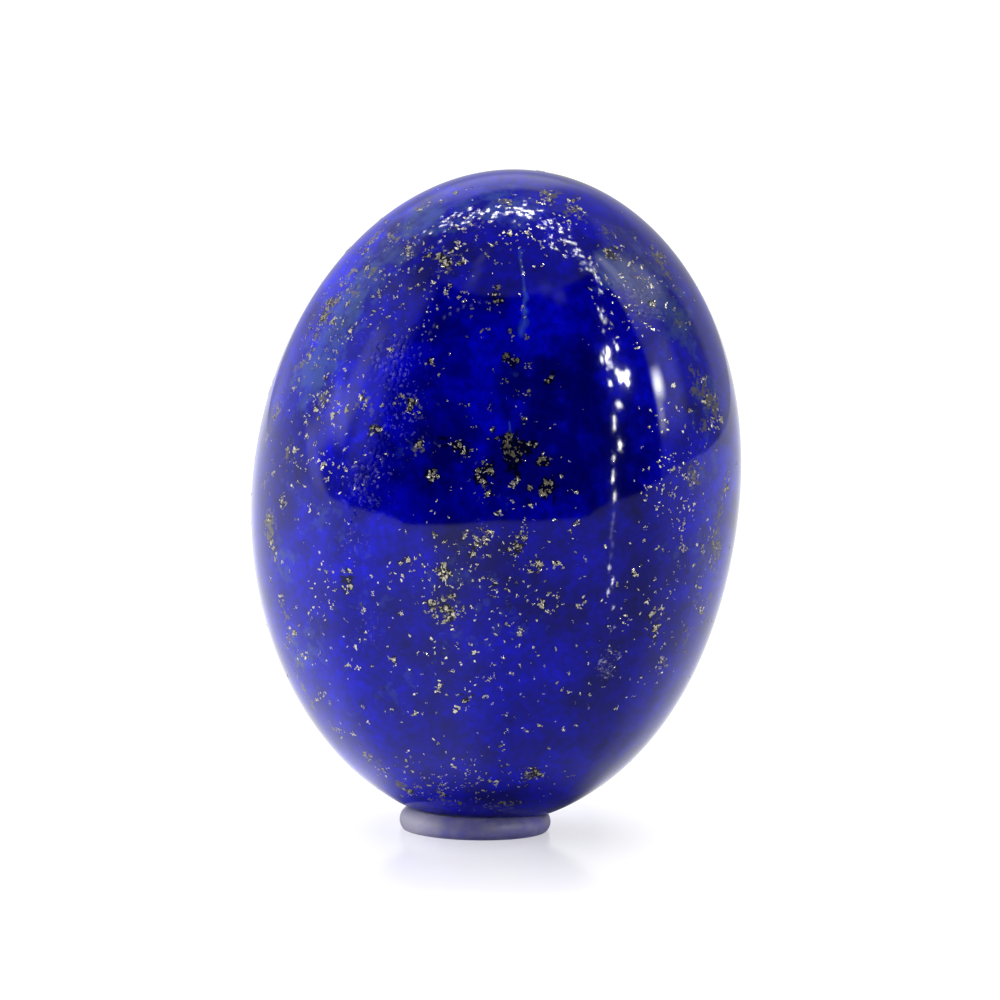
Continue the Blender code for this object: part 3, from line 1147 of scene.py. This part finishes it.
    def build(self) -> bpy.types.Material:
        """Makes the material.

        Returns:
            The material.
        """
        material, tree = new_material("polished_lapis_lazuli")
        place = own_coordinates(tree)
        shader = add_node(
            tree,
            "ShaderNodeBsdfPrincipled",
            {
                "Base Color": self.colour(tree, place),
                "Roughness": self.roughness,
                "IOR": self.ior,
                "Specular IOR Level": self.specular,
                "Normal": self.relief(tree, place),
            },
        )
        add_node(tree, "ShaderNodeOutputMaterial", {"Surface": shader})
        return material


@dataclass(frozen=True)
class PolishedPyrite:
    """Pyrite, cut flush by the polish: pale brass, bright where a facet finds the light."""

    brass: str = "FFF8E6"
    tarnished: str = "5C573F"
    roughness: float = 0.2
    dull_roughness: float = 0.45

    def build(self) -> bpy.types.Material:
        """Makes the material, which reads each grain's stored shine.

        Returns:
            The material.
        """
        material, tree = new_material("polished_pyrite")
        shine = add_node(tree, "ShaderNodeAttribute", attribute_name="shine", output="Fac")
        inputs = {0: shine, COLOUR_A: linear(self.tarnished), COLOUR_B: linear(self.brass)}
        tint = add_node(tree, "ShaderNodeMix", inputs, MIXED_COLOUR, data_type="RGBA")
        inputs = {"Value": shine, "To Min": self.dull_roughness, "To Max": self.roughness}
        rough = add_node(tree, "ShaderNodeMapRange", inputs)
        inputs = {"Base Color": tint, "Metallic": 1.0, "Roughness": rough}
        shader = add_node(tree, "ShaderNodeBsdfPrincipled", inputs)
        add_node(tree, "ShaderNodeOutputMaterial", {"Surface": shader})
        return material


@dataclass(frozen=True)
class MouldedSilicone:
    """Clear silicone rubber, moulded: milky, faintly violet, with a soft satin skin.

    Its side at -X is painted lighter, a painted highlight for the light that falls from the left: two
    numbers give how much lighter it is at each end of a stretch of X.
    """

    tints: tuple[tuple[float, str], ...] = ((0.3, "ACA8FF"), (0.8, "F0ECFF"))
    mottle_mm: float = 0.3
    # Painted highlight: lighter towards -X, where the light falls from the left
    painted_light_span_mm: tuple[float, float] = (-3.0, -1.6)
    painted_light: tuple[float, float] = (0.42, -0.05)
    ior: float = 1.41
    transmission: float = 0.7
    roughness: tuple[float, float] = (0.32, 0.52)

    def build(self) -> bpy.types.Material:
        """Makes the material: clouded all over, and painted lighter along the side at -X, where light
        falls from the left.

        Returns:
            The material.
        """
        material, tree = new_material("moulded_clear_silicone")
        place = own_coordinates(tree)
        inputs = {"Vector": place, "Scale": NOISE_LUMP / self.mottle_mm, "Detail": 3.0}
        mottle = add_node(tree, "ShaderNodeTexNoise", inputs)
        across = add_node(tree, "ShaderNodeSeparateXYZ", {0: place})
        inputs = dict(enumerate((across, *self.painted_light_span_mm, *self.painted_light)))
        painted_light = add_node(tree, "ShaderNodeMapRange", inputs)
        mottle = add_node(tree, "ShaderNodeMath", {0: mottle, 1: painted_light}, operation="ADD")
        tint = add_node(tree, "ShaderNodeValToRGB", {"Fac": mottle})
        set_ramp(tint, *self.tints)
        least, most = self.roughness
        rough = add_node(
            tree, "ShaderNodeMapRange", {"Value": mottle, "To Min": least, "To Max": most}
        )
        shader = add_node(
            tree,
            "ShaderNodeBsdfPrincipled",
            {
                "Base Color": tint,
                "Roughness": rough,
                "IOR": self.ior,
                "Transmission Weight": self.transmission,
            },
        )
        add_node(tree, "ShaderNodeOutputMaterial", {"Surface": shader})
        return material


@dataclass(frozen=True)
class LapisOval:
    """The stone: a fine smooth mesh in the place of its solid.

    Each grain of pyrite is ringed by a dark halo, as strong as halo_strength round one of the size of
    halo_grain.
    """

    shape: OvalShape = OvalShape()
    ball: Ball = Ball()
    finish: PolishedLapis = PolishedLapis()
    seed: int = 23
    strongest: float = 1.5
    halo_reach: float = 0.3 * MM
    halo_width: float = 0.13 * MM
    halo_strength: float = 0.17
    halo_grain: float = 0.1 * MM

    def build(self, view: View) -> tuple[bpy.types.Object, Placed]:
        """Makes the stone's mesh where it stands.

        Args:
            view: The photographed side.

        Returns:
            The stone, and its surface for finding places on it.
        """
        ball, quads, spots = self.ball.build()
        points = self.shape.leaning(ball)
        stone = add_piece("lapis_lazuli", points.tolist(), quads.tolist(), self.finish.build())
        stone.data.shade_smooth()
        stone.data.uv_layers.new(name="OFBake").uv.foreach_set("vector", spots.ravel())
        middle = self.shape.place(points, "lapis_oval")
        stone.location = middle
        standing = (points + np.array(middle)).tolist()
        tree = BVHTree.FromPolygons(standing, [tuple(quad) for quad in quads.tolist()])
        return stone, Placed(tree, middle, view.eye(middle), view.axes())

    def mark(self, stone: bpy.types.Object, surface: Placed, *sown: Grains) -> None:
        """Stores how much there is of each kind of patch at each point.

        Args:
            stone: The stone.
            surface: Its surface where it stands.
            *sown: The pyrite, which has a dark halo close round it.
        """
        local = np.array([point.co for point in stone.data.vertices])
        standing = local + np.array(surface.middle)
        chance = np.random.default_rng(self.seed)
        for name, (seen, behind) in PATCHES.items():
            middles = [
                (found[0], patch.reach, patch.strength)
                for patch in seen
                if (found := surface.seen_at(patch.across, patch.up))
            ]
            for _ in range(behind):
                like = seen[chance.integers(len(seen))]
                middles.append((surface.unseen(chance)[0], like.reach, like.strength))
            share = np.zeros(len(standing))
            for middle, reach, strength in middles:
                far = np.linalg.norm(standing - np.array(middle), axis=1) / (reach * MM)
                share += strength * np.exp(-(far**2))
            if name == "ground":
                share += self.round_grains(standing, sown)
            store(stone, name, np.minimum(share, self.strongest))

    def round_grains(self, standing: np.ndarray, sown: tuple[Grains, ...]) -> np.ndarray:
        """Works out how dark a halo the pyrite has close round it.

        Args:
            standing: The stone's points where it stands.
            sown: The pyrite.

        Returns:
            The share of dark halo at each point.
        """
        near = KDTree(len(standing))
        for index, point in enumerate(standing):
            near.insert(point, index)
        near.balance()
        weight = np.zeros(len(standing))
        for grains in sown:
            for place, size in zip(grains.places, grains.sizes, strict=True):
                share = (size / self.halo_grain) ** 2
                for _, index, far in near.find_range(place, self.halo_reach):
                    weight[index] += share * math.exp(-((far / self.halo_width) ** 2))
        return self.halo_strength * weight


@dataclass(frozen=True)
class PyriteGrains:
    """The pyrite that shows in the polish: ragged flat grains, cut almost flush with the stone.

    Tilts of facets are shares of a grain's radius. The shine is drawn from the beta
    distribution with the two numbers given. A grain's root tapers to a share of its width.
    """

    finish: PolishedPyrite = PolishedPyrite()
    seed: int = 5
    sides: int = 5
    ragged: float = 0.42
    skew: float = 0.3
    stretch: float = 2.6
    tilt_deg: float = 3.5
    facet_tilt: float = 0.14
    chipped: float = 0.2
    chip_tilt: float = 0.4
    shine: tuple[float, float] = (1.0, 0.5)
    proud: float = 0.006 * MM
    depth: float = 0.03 * MM
    taper: float = 0.8

    def build(self, sown: Mapping[str, Grains]) -> list[bpy.types.Object]:
        """Makes each named lot of grains as one mesh."""
        chance, finish = np.random.default_rng(self.seed), self.finish.build()
        return [self.lot(name, grains, finish, chance) for name, grains in sown.items()]

    def lot(
        self,
        name: str,
        grains: Grains,
        finish: bpy.types.Material,
        chance: np.random.Generator,
    ) -> bpy.types.Object:
        """Makes one lot of grains.

        Each is a ragged flat top, whose facets each tilt their own way, over a tapering root.

        Args:
            name: The object's name.
            grains: Where they are and how large.
            finish: The pyrite's material.
            chance: The random numbers.

        Returns:
            The object.
        """
        count, sides = len(grains.sizes), self.sides
        half = np.array(grains.sizes)[:, None] / 2
        up = np.array(grains.outward) + chance.normal(0, math.radians(self.tilt_deg), (count, 3))
        up /= np.linalg.norm(up, axis=1, keepdims=True)
        aside = np.cross(up, chance.normal(size=(count, 3)))
        aside /= np.linalg.norm(aside, axis=1, keepdims=True)
        across = np.cross(up, aside)
        longer = chance.uniform(1, self.stretch, (count, 1)) ** 0.5
        turn = np.arange(sides) * FULL_TURN / sides
        turn = turn + chance.uniform(-self.skew, self.skew, (count, sides))
        reach = 1 + chance.uniform(-self.ragged, self.ragged, (count, sides))
        x, y = np.cos(turn) * reach * half * longer, np.sin(turn) * reach * half / longer
        tilt = np.where(chance.random((count, 1)) < self.chipped, self.chip_tilt, self.facet_tilt)
        lift = self.proud + chance.normal(0, 1, (count, sides)) * tilt * half
        hub = self.proud + np.abs(chance.normal(0, self.facet_tilt, (count, 1))) * half
        lift, hub = (np.minimum(height, 2 * self.proud) for height in (lift, hub))
        rims = [
            (x * share)[..., None] * aside[:, None]
            + (y * share)[..., None] * across[:, None]
            + height[..., None] * up[:, None]
            for share, height in ((1.0, lift), (self.taper, np.full_like(lift, -self.depth)))
        ]
        points = np.concatenate(((up * hub)[:, None], *rims, (-up * self.depth)[:, None]), axis=1)
        points += np.array(grains.places)[:, None]
        faces, upper, lower = [], 1 + sides, 1 + 2 * sides
        for i in range(sides):
            j = (i + 1) % sides
            faces += [(0, 1 + i, 1 + j), (1 + i, upper + i, 1 + j)]
            faces += [(1 + j, upper + i, upper + j), (lower, upper + j, upper + i)]
        every = np.array(faces)[None] + np.arange(count)[:, None, None] * points.shape[1]
        piece = add_piece(
            name, points.reshape(-1, 3).tolist(), every.reshape(-1, 3).tolist(), finish
        )
        shine = chance.beta(*self.shine, count) * grains.bright
        store(piece, "shine", np.repeat(shine, points.shape[1]))
        return piece


@dataclass(frozen=True)
class SiliconeRing:
    """The soft ring, pressed by the stone that stands in it.

    The bulge is how much wider its cord grows for each share of its height that is lost.
    """

    outside: float = 6.0 * MM
    wall: float = 0.9 * MM
    height: float = 0.85 * MM
    widest_at: float = 0.35 * MM
    round_steps: int = 180
    cord_steps: int = 44
    contact: float = 0.004 * MM
    bulge: float = 0.35
    looked_from: float = -1 * MM
    finish: MouldedSilicone = MouldedSilicone()

    def section(self, middle: float) -> np.ndarray:
        """Works out the free cord's outline.

        Args:
            middle: How far the cord's middle is from the ring's axis.

        Returns:
            Each point's distance from the ring's axis, and its height.
        """
        turn = FULL_TURN * (np.arange(self.cord_steps) + 0.5) / self.cord_steps
        rise = self.height - self.widest_at
        radius = middle + self.wall / 2 * np.cos(turn)
        return np.column_stack((radius, np.maximum(self.widest_at + rise * np.sin(turn), 0)))

    def build(self, stone: Placed) -> bpy.types.Object:
        """Makes the ring, its top pressed down by the stone and its sides pushed out by that.

        Args:
            stone: The stone that stands in it.

        Returns:
            The ring.
        """
        lowest, highest = (Vector(corner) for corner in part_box("silicone_ring"))
        under = (lowest + highest) / 2
        under.z = self.looked_from
        wide = (self.outside - self.wall) / 2
        outline = self.section(wide)
        points = []
        for step in range(self.round_steps):
            way = FULL_TURN * step / self.round_steps
            out = Vector((math.cos(way), math.sin(way), 0))
            room = stone.above(under + out * wide).z - self.contact
            squeeze = max(0.0, self.height - room) / self.height
            for radius, height in outline:
                at = under + out * (radius + (radius - wide) * squeeze * self.bulge)
                at.z = min(height, stone.above(at).z - self.contact)
                points.append(at)
        n, m = self.round_steps, self.cord_steps
        quads = [
            (i * m + j, (i + 1) % n * m + j, (i + 1) % n * m + (j + 1) % m, i * m + (j + 1) % m)
            for i in range(n)
            for j in range(m)
        ]
        ring = add_piece("silicone_cord_ring", points, quads, self.finish.build())
        ring.data.shade_smooth()
        return ring


@dataclass(frozen=True)
class Panel:
    """One panel of the light tent, by direction from the stone, in degrees.

    Attributes:
        azimuth: Its middle, from -Y, where the camera is, towards +X.
        half_width: Half its width.
        elevation: Its middle's height above the floor's horizon.
        half_height: Half its height.
        softness: How wide its edges fade.
        level: Its brightness, where 1 is white.
        lean: How far it goes round for each degree that it rises.
    """

    azimuth: float
    half_width: float
    elevation: float
    half_height: float
    softness: float
    level: float
    lean: float = 0.0


@dataclass(frozen=True)
class Tent:
    """What a light tent looks like from the stone: an even wall with panels laid over it."""

    wall: float
    panels: tuple[Panel, ...]

    def level(self, tree: Tree, direction: Socket) -> Socket:
        """Works out the brightness in a direction.

        Args:
            tree: The nodes.
            direction: The direction, of unit length.

        Returns:
            The brightness.
        """
        split = add_node(tree, "ShaderNodeSeparateXYZ", {0: direction}).node.outputs
        front = add_node(tree, "ShaderNodeMath", {0: split[1], 1: -1.0}, operation="MULTIPLY")
        turn = add_node(tree, "ShaderNodeMath", {0: split[0], 1: front}, operation="ARCTAN2")
        rise = add_node(tree, "ShaderNodeMath", {0: split[2]}, operation="ARCSINE")
        azimuth = add_node(tree, "ShaderNodeMath", {0: turn}, operation="DEGREES")
        elevation = add_node(tree, "ShaderNodeMath", {0: rise}, operation="DEGREES")
        angles = add_node(tree, "ShaderNodeCombineXYZ", {0: azimuth, 1: elevation})
        level: Socket | float = self.wall
        for panel in self.panels:
            share = self.inside(tree, angles, elevation, panel)
            inputs = {0: share, NUMBER_A: level, NUMBER_B: panel.level}
            level = add_node(tree, "ShaderNodeMix", inputs, data_type="FLOAT")
        return level

    def inside(self, tree: Tree, angles: Socket, elevation: Socket, panel: Panel) -> Socket:
        """Gives 1 inside a panel and 0 outside it, with soft edges.

        Args:
            tree: The nodes.
            angles: The direction's azimuth and elevation, in degrees.
            elevation: The elevation alone.
            panel: The panel.

        Returns:
            The share.
        """
        middle: Socket | tuple[float, float, float] = (panel.azimuth, panel.elevation, 0.0)
        if panel.lean:
            start = panel.azimuth - panel.lean * panel.elevation
            inputs = {0: elevation, 1: panel.lean, 2: start}
            round_to = add_node(tree, "ShaderNodeMath", inputs, operation="MULTIPLY_ADD")
            middle = add_node(tree, "ShaderNodeCombineXYZ", {0: round_to, 1: panel.elevation})
        off = add_node(tree, "ShaderNodeVectorMath", {0: angles, 1: middle}, operation="SUBTRACT")
        if abs(panel.azimuth) + panel.half_width + panel.softness > HALF_TURN_DEG:
            turns = {0: off, 1: (HALF_TURN_DEG,) * 3, 2: (-HALF_TURN_DEG,) * 3}
            off = add_node(tree, "ShaderNodeVectorMath", turns, operation="WRAP")
        off = add_node(tree, "ShaderNodeVectorMath", {0: off}, operation="ABSOLUTE")
        fade = panel.softness / 2
        inputs = {
            "Vector": off,
            VECTOR_FROM_MIN: (panel.half_width + fade, panel.half_height + fade, 1.0),
            VECTOR_FROM_MAX: (panel.half_width - fade, panel.half_height - fade, 0.0),
        }
        both = add_node(
            tree,
            "ShaderNodeMapRange",
            inputs,
            MAPPED_VECTOR,
            data_type="FLOAT_VECTOR",
            interpolation_type="SMOOTHSTEP",
        )
        parts = add_node(tree, "ShaderNodeSeparateXYZ", {0: both}).node.outputs
        return add_node(tree, "ShaderNodeMath", {0: parts[0], 1: parts[1]}, operation="MULTIPLY")


# The tent that the polish mirrors: each panel is laid over those before it
TENT_PANELS = tuple(
    Panel(*row)
    for row in (
        # Behind the stone, which only its rims mirror
        (180, 45, 0, 30, 20, 0.62), (-172, 20, 42, 14, 12, 1.4), (150, 14, 42, 14, 12, 0.45),
        (-125, 18, 25, 70, 16, 0.9), (-118, 30, -10, 14, 14, 1.5), (120, 26, -10, 12, 12, 0.8),
        # Overhead
        (0, 200, 79, 24, 6, 0.28), (158, 20, 66, 10, 12, 0.6), (-70, 30, 62, 17, 8, 0.3),
        # To the right, with the small bright lamp that makes a flame in the polish
        (100, 27, 12, 18, 10, 0.3), (86, 9, 18, 10, 11, 1.5), (93, 18, 41, 9, 9, 2.4, -0.6),
        (88.5, 3.5, 47, 9, 5, 4.0), (79, 2.6, 18, 2.4, 5, 44.0), (77.5, 2.2, 11.5, 3.5, 3, 7.0),
        # To the left
        (-86, 10, 30, 18, 10, 1.0),
        # The dark opening
        (2.5, 73.5, 8, 47, 3, 0.0),
        # The haze and the streaks on its left
        (-71, 13, 27, 24, 14, 0.8), (-79, 9, 4, 8, 5, 0.2), (-77, 4.5, 25, 10, 6, 2.0),
        (-82, 8, 14, 5, 6, 2.9), (-91, 6, 9, 3, 6, 1.9), (-86, 4, 0, 9, 4, 2.2, -1.44),
        # The faint wisps in the top of it
        (-38, 4, 69, 4, 7, 1.0), (-33, 4, 61, 4, 7, 1.0), (28, 4, 56, 2, 6, 0.8),
        (36, 4, 52, 2, 6, 0.8),
    )
)

# The soft light that the tent sheds on the stone
SHED_PANELS = (
    Panel(-95, 45, 20, 50, 50, 2.1),
    Panel(-98, 22, 10, 9, 8, 4.4),
    Panel(105, 45, 25, 45, 40, 0.78),
    Panel(10, 40, 15, 40, 40, 0.06),
)

# The floor as the polish mirrors it, by direction below the horizon
FLOOR_PANELS = (
    Panel(-50, 45, -25, 60, 30, 1.0),
    Panel(-92, 22, -25, 60, 22, 1.6),
    Panel(-135, 32, -25, 60, 18, 1.45),
    Panel(92, 18, -25, 60, 18, 0.8),
    Panel(145, 48, -25, 60, 26, 1.15),
    Panel(0, 200, -82, 13, 12, 0.08),
)


@dataclass(frozen=True)
class LightTent:
    """A white tent round the stone, with the dark opening that the camera looks through.

    The polish mirrors the tent as it is; the soft light that the tent sheds on the stone is set
    apart from that, and a camera sees plain white.
    """

    cast: str = "FAFAFF"
    backdrop: float = 1.4
    mirrored: Tent = Tent(0.75, TENT_PANELS)
    shed: Tent = Tent(0.6, SHED_PANELS)

    def build(self) -> None:
        """Makes the world that lights the stone."""
        world = bpy.data.worlds.new("light_tent")
        bpy.context.scene.world = world
        world.use_nodes = True
        tree = world.node_tree
        tree.nodes.clear()
        direction = add_node(tree, "ShaderNodeTexCoord", output="Generated")
        cast = linear(self.cast)
        mirrored, shed = (
            add_node(
                tree,
                "ShaderNodeBackground",
                {"Color": cast, "Strength": tent.level(tree, direction)},
            )
            for tent in (self.mirrored, self.shed)
        )
        light = by_ray(tree, "Is Glossy Ray", mirrored, shed)
        plain = add_node(tree, "ShaderNodeBackground", {"Strength": self.backdrop})
        shown = by_ray(tree, "Is Camera Ray", plain, light)
        add_node(tree, "ShaderNodeOutputWorld", {"Surface": shown})


@dataclass(frozen=True)
class Bead:
    """One bead of light that the polish shows, as seen from the camera, in mm.

    Attributes:
        across: Its place to the right of the stone's middle.
        up: Its place above it.
        lamp: The radius of its lamp.
        level: The lamp's brightness, where 1 is white.
        glints: How many lamps it is broken into.
        scatter: How far they are scattered.
    """

    across: float
    up: float
    lamp: float
    level: float
    glints: int = 1
    scatter: float = 0.0


# The beads that the polish shows, from the left end of the arch
SEEN_BEADS = tuple(
    Bead(*row)
    for row in (
        (-2.6, 10.62, 3.91, 28, 5, 0.15), (-2.1, 10.9, 3.91, 33, 7, 0.15),
        (-1.75, 11.04, 3.91, 43, 7, 0.15), (-1.2, 11.28, 4.76, 48, 8, 0.15),
        (-0.84, 11.34, 3.91, 43, 7, 0.12), (-0.3, 11.4, 4.76, 58, 9, 0.15),
        (0.1, 11.4, 3.91, 53, 7, 0.12), (0.5, 11.4, 3.91, 48, 8, 0.16), (0.9, 11.5, 4.76, 58, 9, 0.16),
        (1.24, 11.34, 5.61, 63, 12, 0.19), (1.7, 11, 3.91, 53, 10, 0.21),
        (2.1, 10.8, 3.91, 58, 11, 0.22), (2.5, 10.4, 3.91, 53, 11, 0.25),
        (2.85, 10.05, 3.91, 53, 10, 0.22), (3.15, 9.8, 3.91, 53, 8, 0.19),
        (3.35, 9.4, 3.91, 43, 5, 0.15), (3.64, 9.22, 3.91, 43, 4, 0.11),
        (3.88, 8.94, 4.6, 48, 5, 0.085), (4.02, 8.6, 3.6, 38, 3, 0.085), (4.12, 8.22, 4, 40, 3, 0.07),
        (4.24, 7.38, 3.4, 50, 6, 0.1), (4.28, 7.06, 4, 40, 3, 0.08), (4.4, 6.6, 4, 30, 2, 0.12),
        (4.76, 6.14, 4, 60, 3, 0.05), (4.4, 5.66, 6, 70, 9, 0.13), (4.56, 5.26, 5, 60, 5, 0.1),
        (5.04, 4.74, 7, 70, 16, 0.16), (4.84, 3.74, 5, 60, 4, 0.07), (4.7, 3.2, 4, 50),
        (4.69, 3.05, 4, 50), (4.68, 2.9, 4, 50), (4.68, 2.75, 4, 50), (4.88, 2.06, 4, 60, 4, 0.06),
        (4.86, 1.9, 4, 50), (4.72, 1.54, 4, 50), (4.6, 0.82, 4, 50, 3, 0.05), (4.6, 0.68, 4, 50),
        (4.62, 0.54, 4, 50), (4.72, 0.0, 4, 50), (4.71, -0.14, 3, 50), (4.44, -2.86, 5, 35),
        (4.66, -3.3, 4, 40), (4.66, -3.45, 4, 40), (4.4, -3.86, 5, 35), (4.64, -4.42, 4, 30),
        (4.72, -5.26, 5, 20, 2, 0.1), (4.68, -6.3, 4, 20, 5, 0.15), (4.2, -6.78, 5, 20, 5, 0.15),
        (4.48, -7.14, 4, 20, 3, 0.1), (3.6, -8.34, 4, 15, 2, 0.1), (-2.75, 6.55, 3, 3),
        (-2.5, 6.85, 3, 3), (-2.2, 7.1, 3, 4), (-1.9, 7.3, 3, 4), (-1.6, 7.46, 3, 4),
        (-1.3, 7.58, 3, 4), (-1.0, 7.68, 3, 3), (-0.7, 7.76, 3, 3), (-0.4, 7.82, 3, 3),
        (4.58, -0.8, 5, 4), (4.55, -1.1, 5, 4), (4.55, -1.4, 5, 3), (4.57, -1.7, 5, 3),
        (4.56, -2.0, 5, 3), (4.52, -2.3, 5, 2),
    )
)


@dataclass(frozen=True)
class LampArch:
    """A strip of small lamps, up one side of the opening and over the top.

    Each is hung where the polish shows it as the bead that is listed. The lamps are seen in
    reflections only. Those below the horizon are their images in the glossy floor. A glint's
    size is a share of its bead's lamp, from smallest to largest.
    """

    distance: float = 400 * MM
    floor_gap: float = 2 * MM
    seed: int = 3
    glint_sizes: tuple[float, float] = (0.4, 1.0)

    def hang(self, stone: Placed, across: float, up: float) -> tuple[Vector, float] | None:
        """Finds where a lamp must hang to be mirrored at a spot.

        Args:
            stone: The stone.
            across: The spot, to the right of the stone's middle, in mm.
            up: The spot's height above it.

        Returns:
            The lamp's place and its distance from the stone.
        """
        found = stone.seen_at(across, up)
        if found is None:
            return None
        place, outward = found
        towards = (place - stone.eye).normalized()
        away = towards - 2 * towards.dot(outward) * outward
        reach = self.distance
        if away.z < 0:
            reach = min(reach, (place.z - self.floor_gap) / -away.z)
        return place + away * reach, reach

    def add_lamp(self, name: str, place: Vector, radius: float, level: float) -> None:
        """Adds a round lamp that only reflections show.

        Args:
            name: The lamp's name.
            place: Where it is.
            radius: Its radius.
            level: How bright its surface is, where 1 is white.
        """
        lamp = bpy.data.lights.new(name, "POINT")
        lamp.energy = level * 4 * math.pi**2 * radius**2
        lamp.shadow_soft_size = radius
        stand = add_object(name, lamp)
        stand.location = place
        stand.visible_camera = False
        stand.visible_diffuse = False
        stand.visible_transmission = False

    def build(self, stone: Placed) -> None:
        """Hangs the lamps round the stone.

        Args:
            stone: The stone.
        """
        chance = np.random.default_rng(self.seed)
        for number, bead in enumerate(SEEN_BEADS):
            for glint in range(bead.glints):
                shift = chance.normal(0, bead.scatter, 2) if bead.scatter else (0.0, 0.0)
                hung = self.hang(stone, bead.across + shift[0], bead.up + shift[1])
                if hung is None:
                    continue
                place, reach = hung
                radius = bead.lamp * MM * reach / self.distance
                if bead.glints > 1:
                    radius *= chance.uniform(*self.glint_sizes)
                self.add_lamp(f"lamp_{number:02d}_{glint}", place, radius, bead.level)


@dataclass(frozen=True)
class PaleFloor:
    """A plain white floor whose gloss mirrors what stands on it, most strongly close by.

    Its front edge, where the dark opening begins in the polish, hangs a little out of true, in
    waves of a height and a length each. A camera sees it glow under the ring's shadow, and plain
    white past that. The shadow and the gloss each fade over a stretch of distance.
    """

    front: float = -109 * MM
    back: float = 3000 * MM
    side: float = 2000 * MM
    waves: tuple[tuple[float, float], ...] = ((12 * MM, 140 * MM), (3.5 * MM, 46 * MM))
    wavy_to: float = 350 * MM
    wave_step: float = 8 * MM
    colour: str = "ECEAE8"
    roughness: float = 0.12
    glow: float = 0.46
    white: float = 1.15
    depth_share: float = 0.25
    shadow: tuple[float, float] = (4.2 * MM, 9 * MM)
    near: tuple[float, float] = (4 * MM, 15.5 * MM)
    gloss: float = 0.24
    mirrored: Tent = Tent(0.52, FLOOR_PANELS)

    def outline(self) -> list[tuple[float, float, float]]:
        """Works out the floor's corners.

        Returns:
            Them in order, with the wavy front edge.
        """
        corners = [(-self.side, self.back, 0.0), (-self.side, self.front, 0.0)]
        for x in np.arange(-self.wavy_to, self.wavy_to, self.wave_step).tolist():
            wave = sum(high * math.cos(FULL_TURN * x / long) for high, long in self.waves)
            corners.append((x, self.front - wave, 0.0))
        return corners + [(self.side, self.front, 0.0), (self.side, self.back, 0.0)]

    def lit(self, tree: Tree, place: Socket, surface: Socket) -> Socket:
        """Lights the floor as a camera sees it: plain white, with the ring's soft shadow.

        Args:
            tree: The material's nodes.
            place: Coordinates in metres.
            surface: The floor's own shader.

        Returns:
            The shader.
        """
        scale = (1.0, self.depth_share, 0.0)
        across = add_node(tree, "ShaderNodeVectorMath", {0: place, 1: scale}, operation="MULTIPLY")
        aside = add_node(tree, "ShaderNodeVectorMath", {0: across}, "Value", operation="LENGTH")
        start, end = self.shadow
        even = add_node(
            tree, "ShaderNodeMapRange", {"Value": aside, "From Min": start, "From Max": end}
        )
        glow = add_node(tree, "ShaderNodeEmission", {"Strength": self.glow})
        shaded = add_node(tree, "ShaderNodeAddShader", {0: surface, 1: glow})
        white = add_node(tree, "ShaderNodeEmission", {"Strength": self.white})
        return add_node(tree, "ShaderNodeMixShader", {0: even, 1: shaded, 2: white})

    def seen_from(self, tree: Tree, place: Socket, middle: Vector) -> Socket:
        """Works out what the polish mirrors of the floor.

        Args:
            tree: The material's nodes.
            place: Coordinates in metres.
            middle: The stone's middle.

        Returns:
            The shader.
        """
        inputs = {0: place, 1: tuple(middle)}
        seen = add_node(tree, "ShaderNodeVectorMath", inputs, operation="SUBTRACT")
        direction = add_node(tree, "ShaderNodeVectorMath", {0: seen}, operation="NORMALIZE")
        level = self.mirrored.level(tree, direction)
        return add_node(tree, "ShaderNodeEmission", {"Strength": level})

    def build(self, middle: Vector) -> None:
        """Makes the floor, just under the ring.

        Args:
            middle: The stone's middle, from which the polish mirrors the floor.
        """
        material, tree = new_material("pale_floor")
        place = add_node(tree, "ShaderNodeTexCoord", output="Object")
        off = add_node(tree, "ShaderNodeVectorMath", {0: place}, "Value", operation="LENGTH")
        inputs = dict(enumerate((off, *self.near, self.gloss, 0.0)))
        gloss = add_node(tree, "ShaderNodeMapRange", inputs)
        inputs = {
            "Base Color": linear(self.colour),
            "Roughness": self.roughness,
            "Specular IOR Level": gloss,
        }
        surface = add_node(tree, "ShaderNodeBsdfPrincipled", inputs)
        shown = by_ray(tree, "Is Camera Ray", self.lit(tree, place, surface), surface)
        shown = by_ray(tree, "Is Glossy Ray", self.seen_from(tree, place, middle), shown)
        add_node(tree, "ShaderNodeOutputMaterial", {"Surface": shown})
        corners = self.outline()
        floor = add_piece("floor", corners, [tuple(range(len(corners)))], material)


def main() -> None:
    """Builds the pieces, the stage and the camera in order."""
    logging.basicConfig(level=logging.INFO, format="%(message)s")
    bpy.context.scene.view_settings.view_transform = "Standard"
    view = View()
    oval = LapisOval()
    stone, surface = oval.build(view)
    seen, behind = PyriteSowing(surface).sow()
    oval.mark(stone, surface, seen, behind)
    flecks = PyriteGrains().build({"pyrite_grains_seen": seen, "pyrite_grains_behind": behind})
    ring = SiliconeRing().build(surface)
    for piece in (stone, *flecks, ring):
        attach(piece, "root")
        log.info("%s: %d faces", piece.name, len(piece.data.polygons))
    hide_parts("lapis_oval")
    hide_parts("silicone_ring")
    LightTent().build()
    LampArch().build(surface)
    PaleFloor().build(surface.middle)
    view.place_camera(surface.middle)


if __name__ == "__main__":
    main()
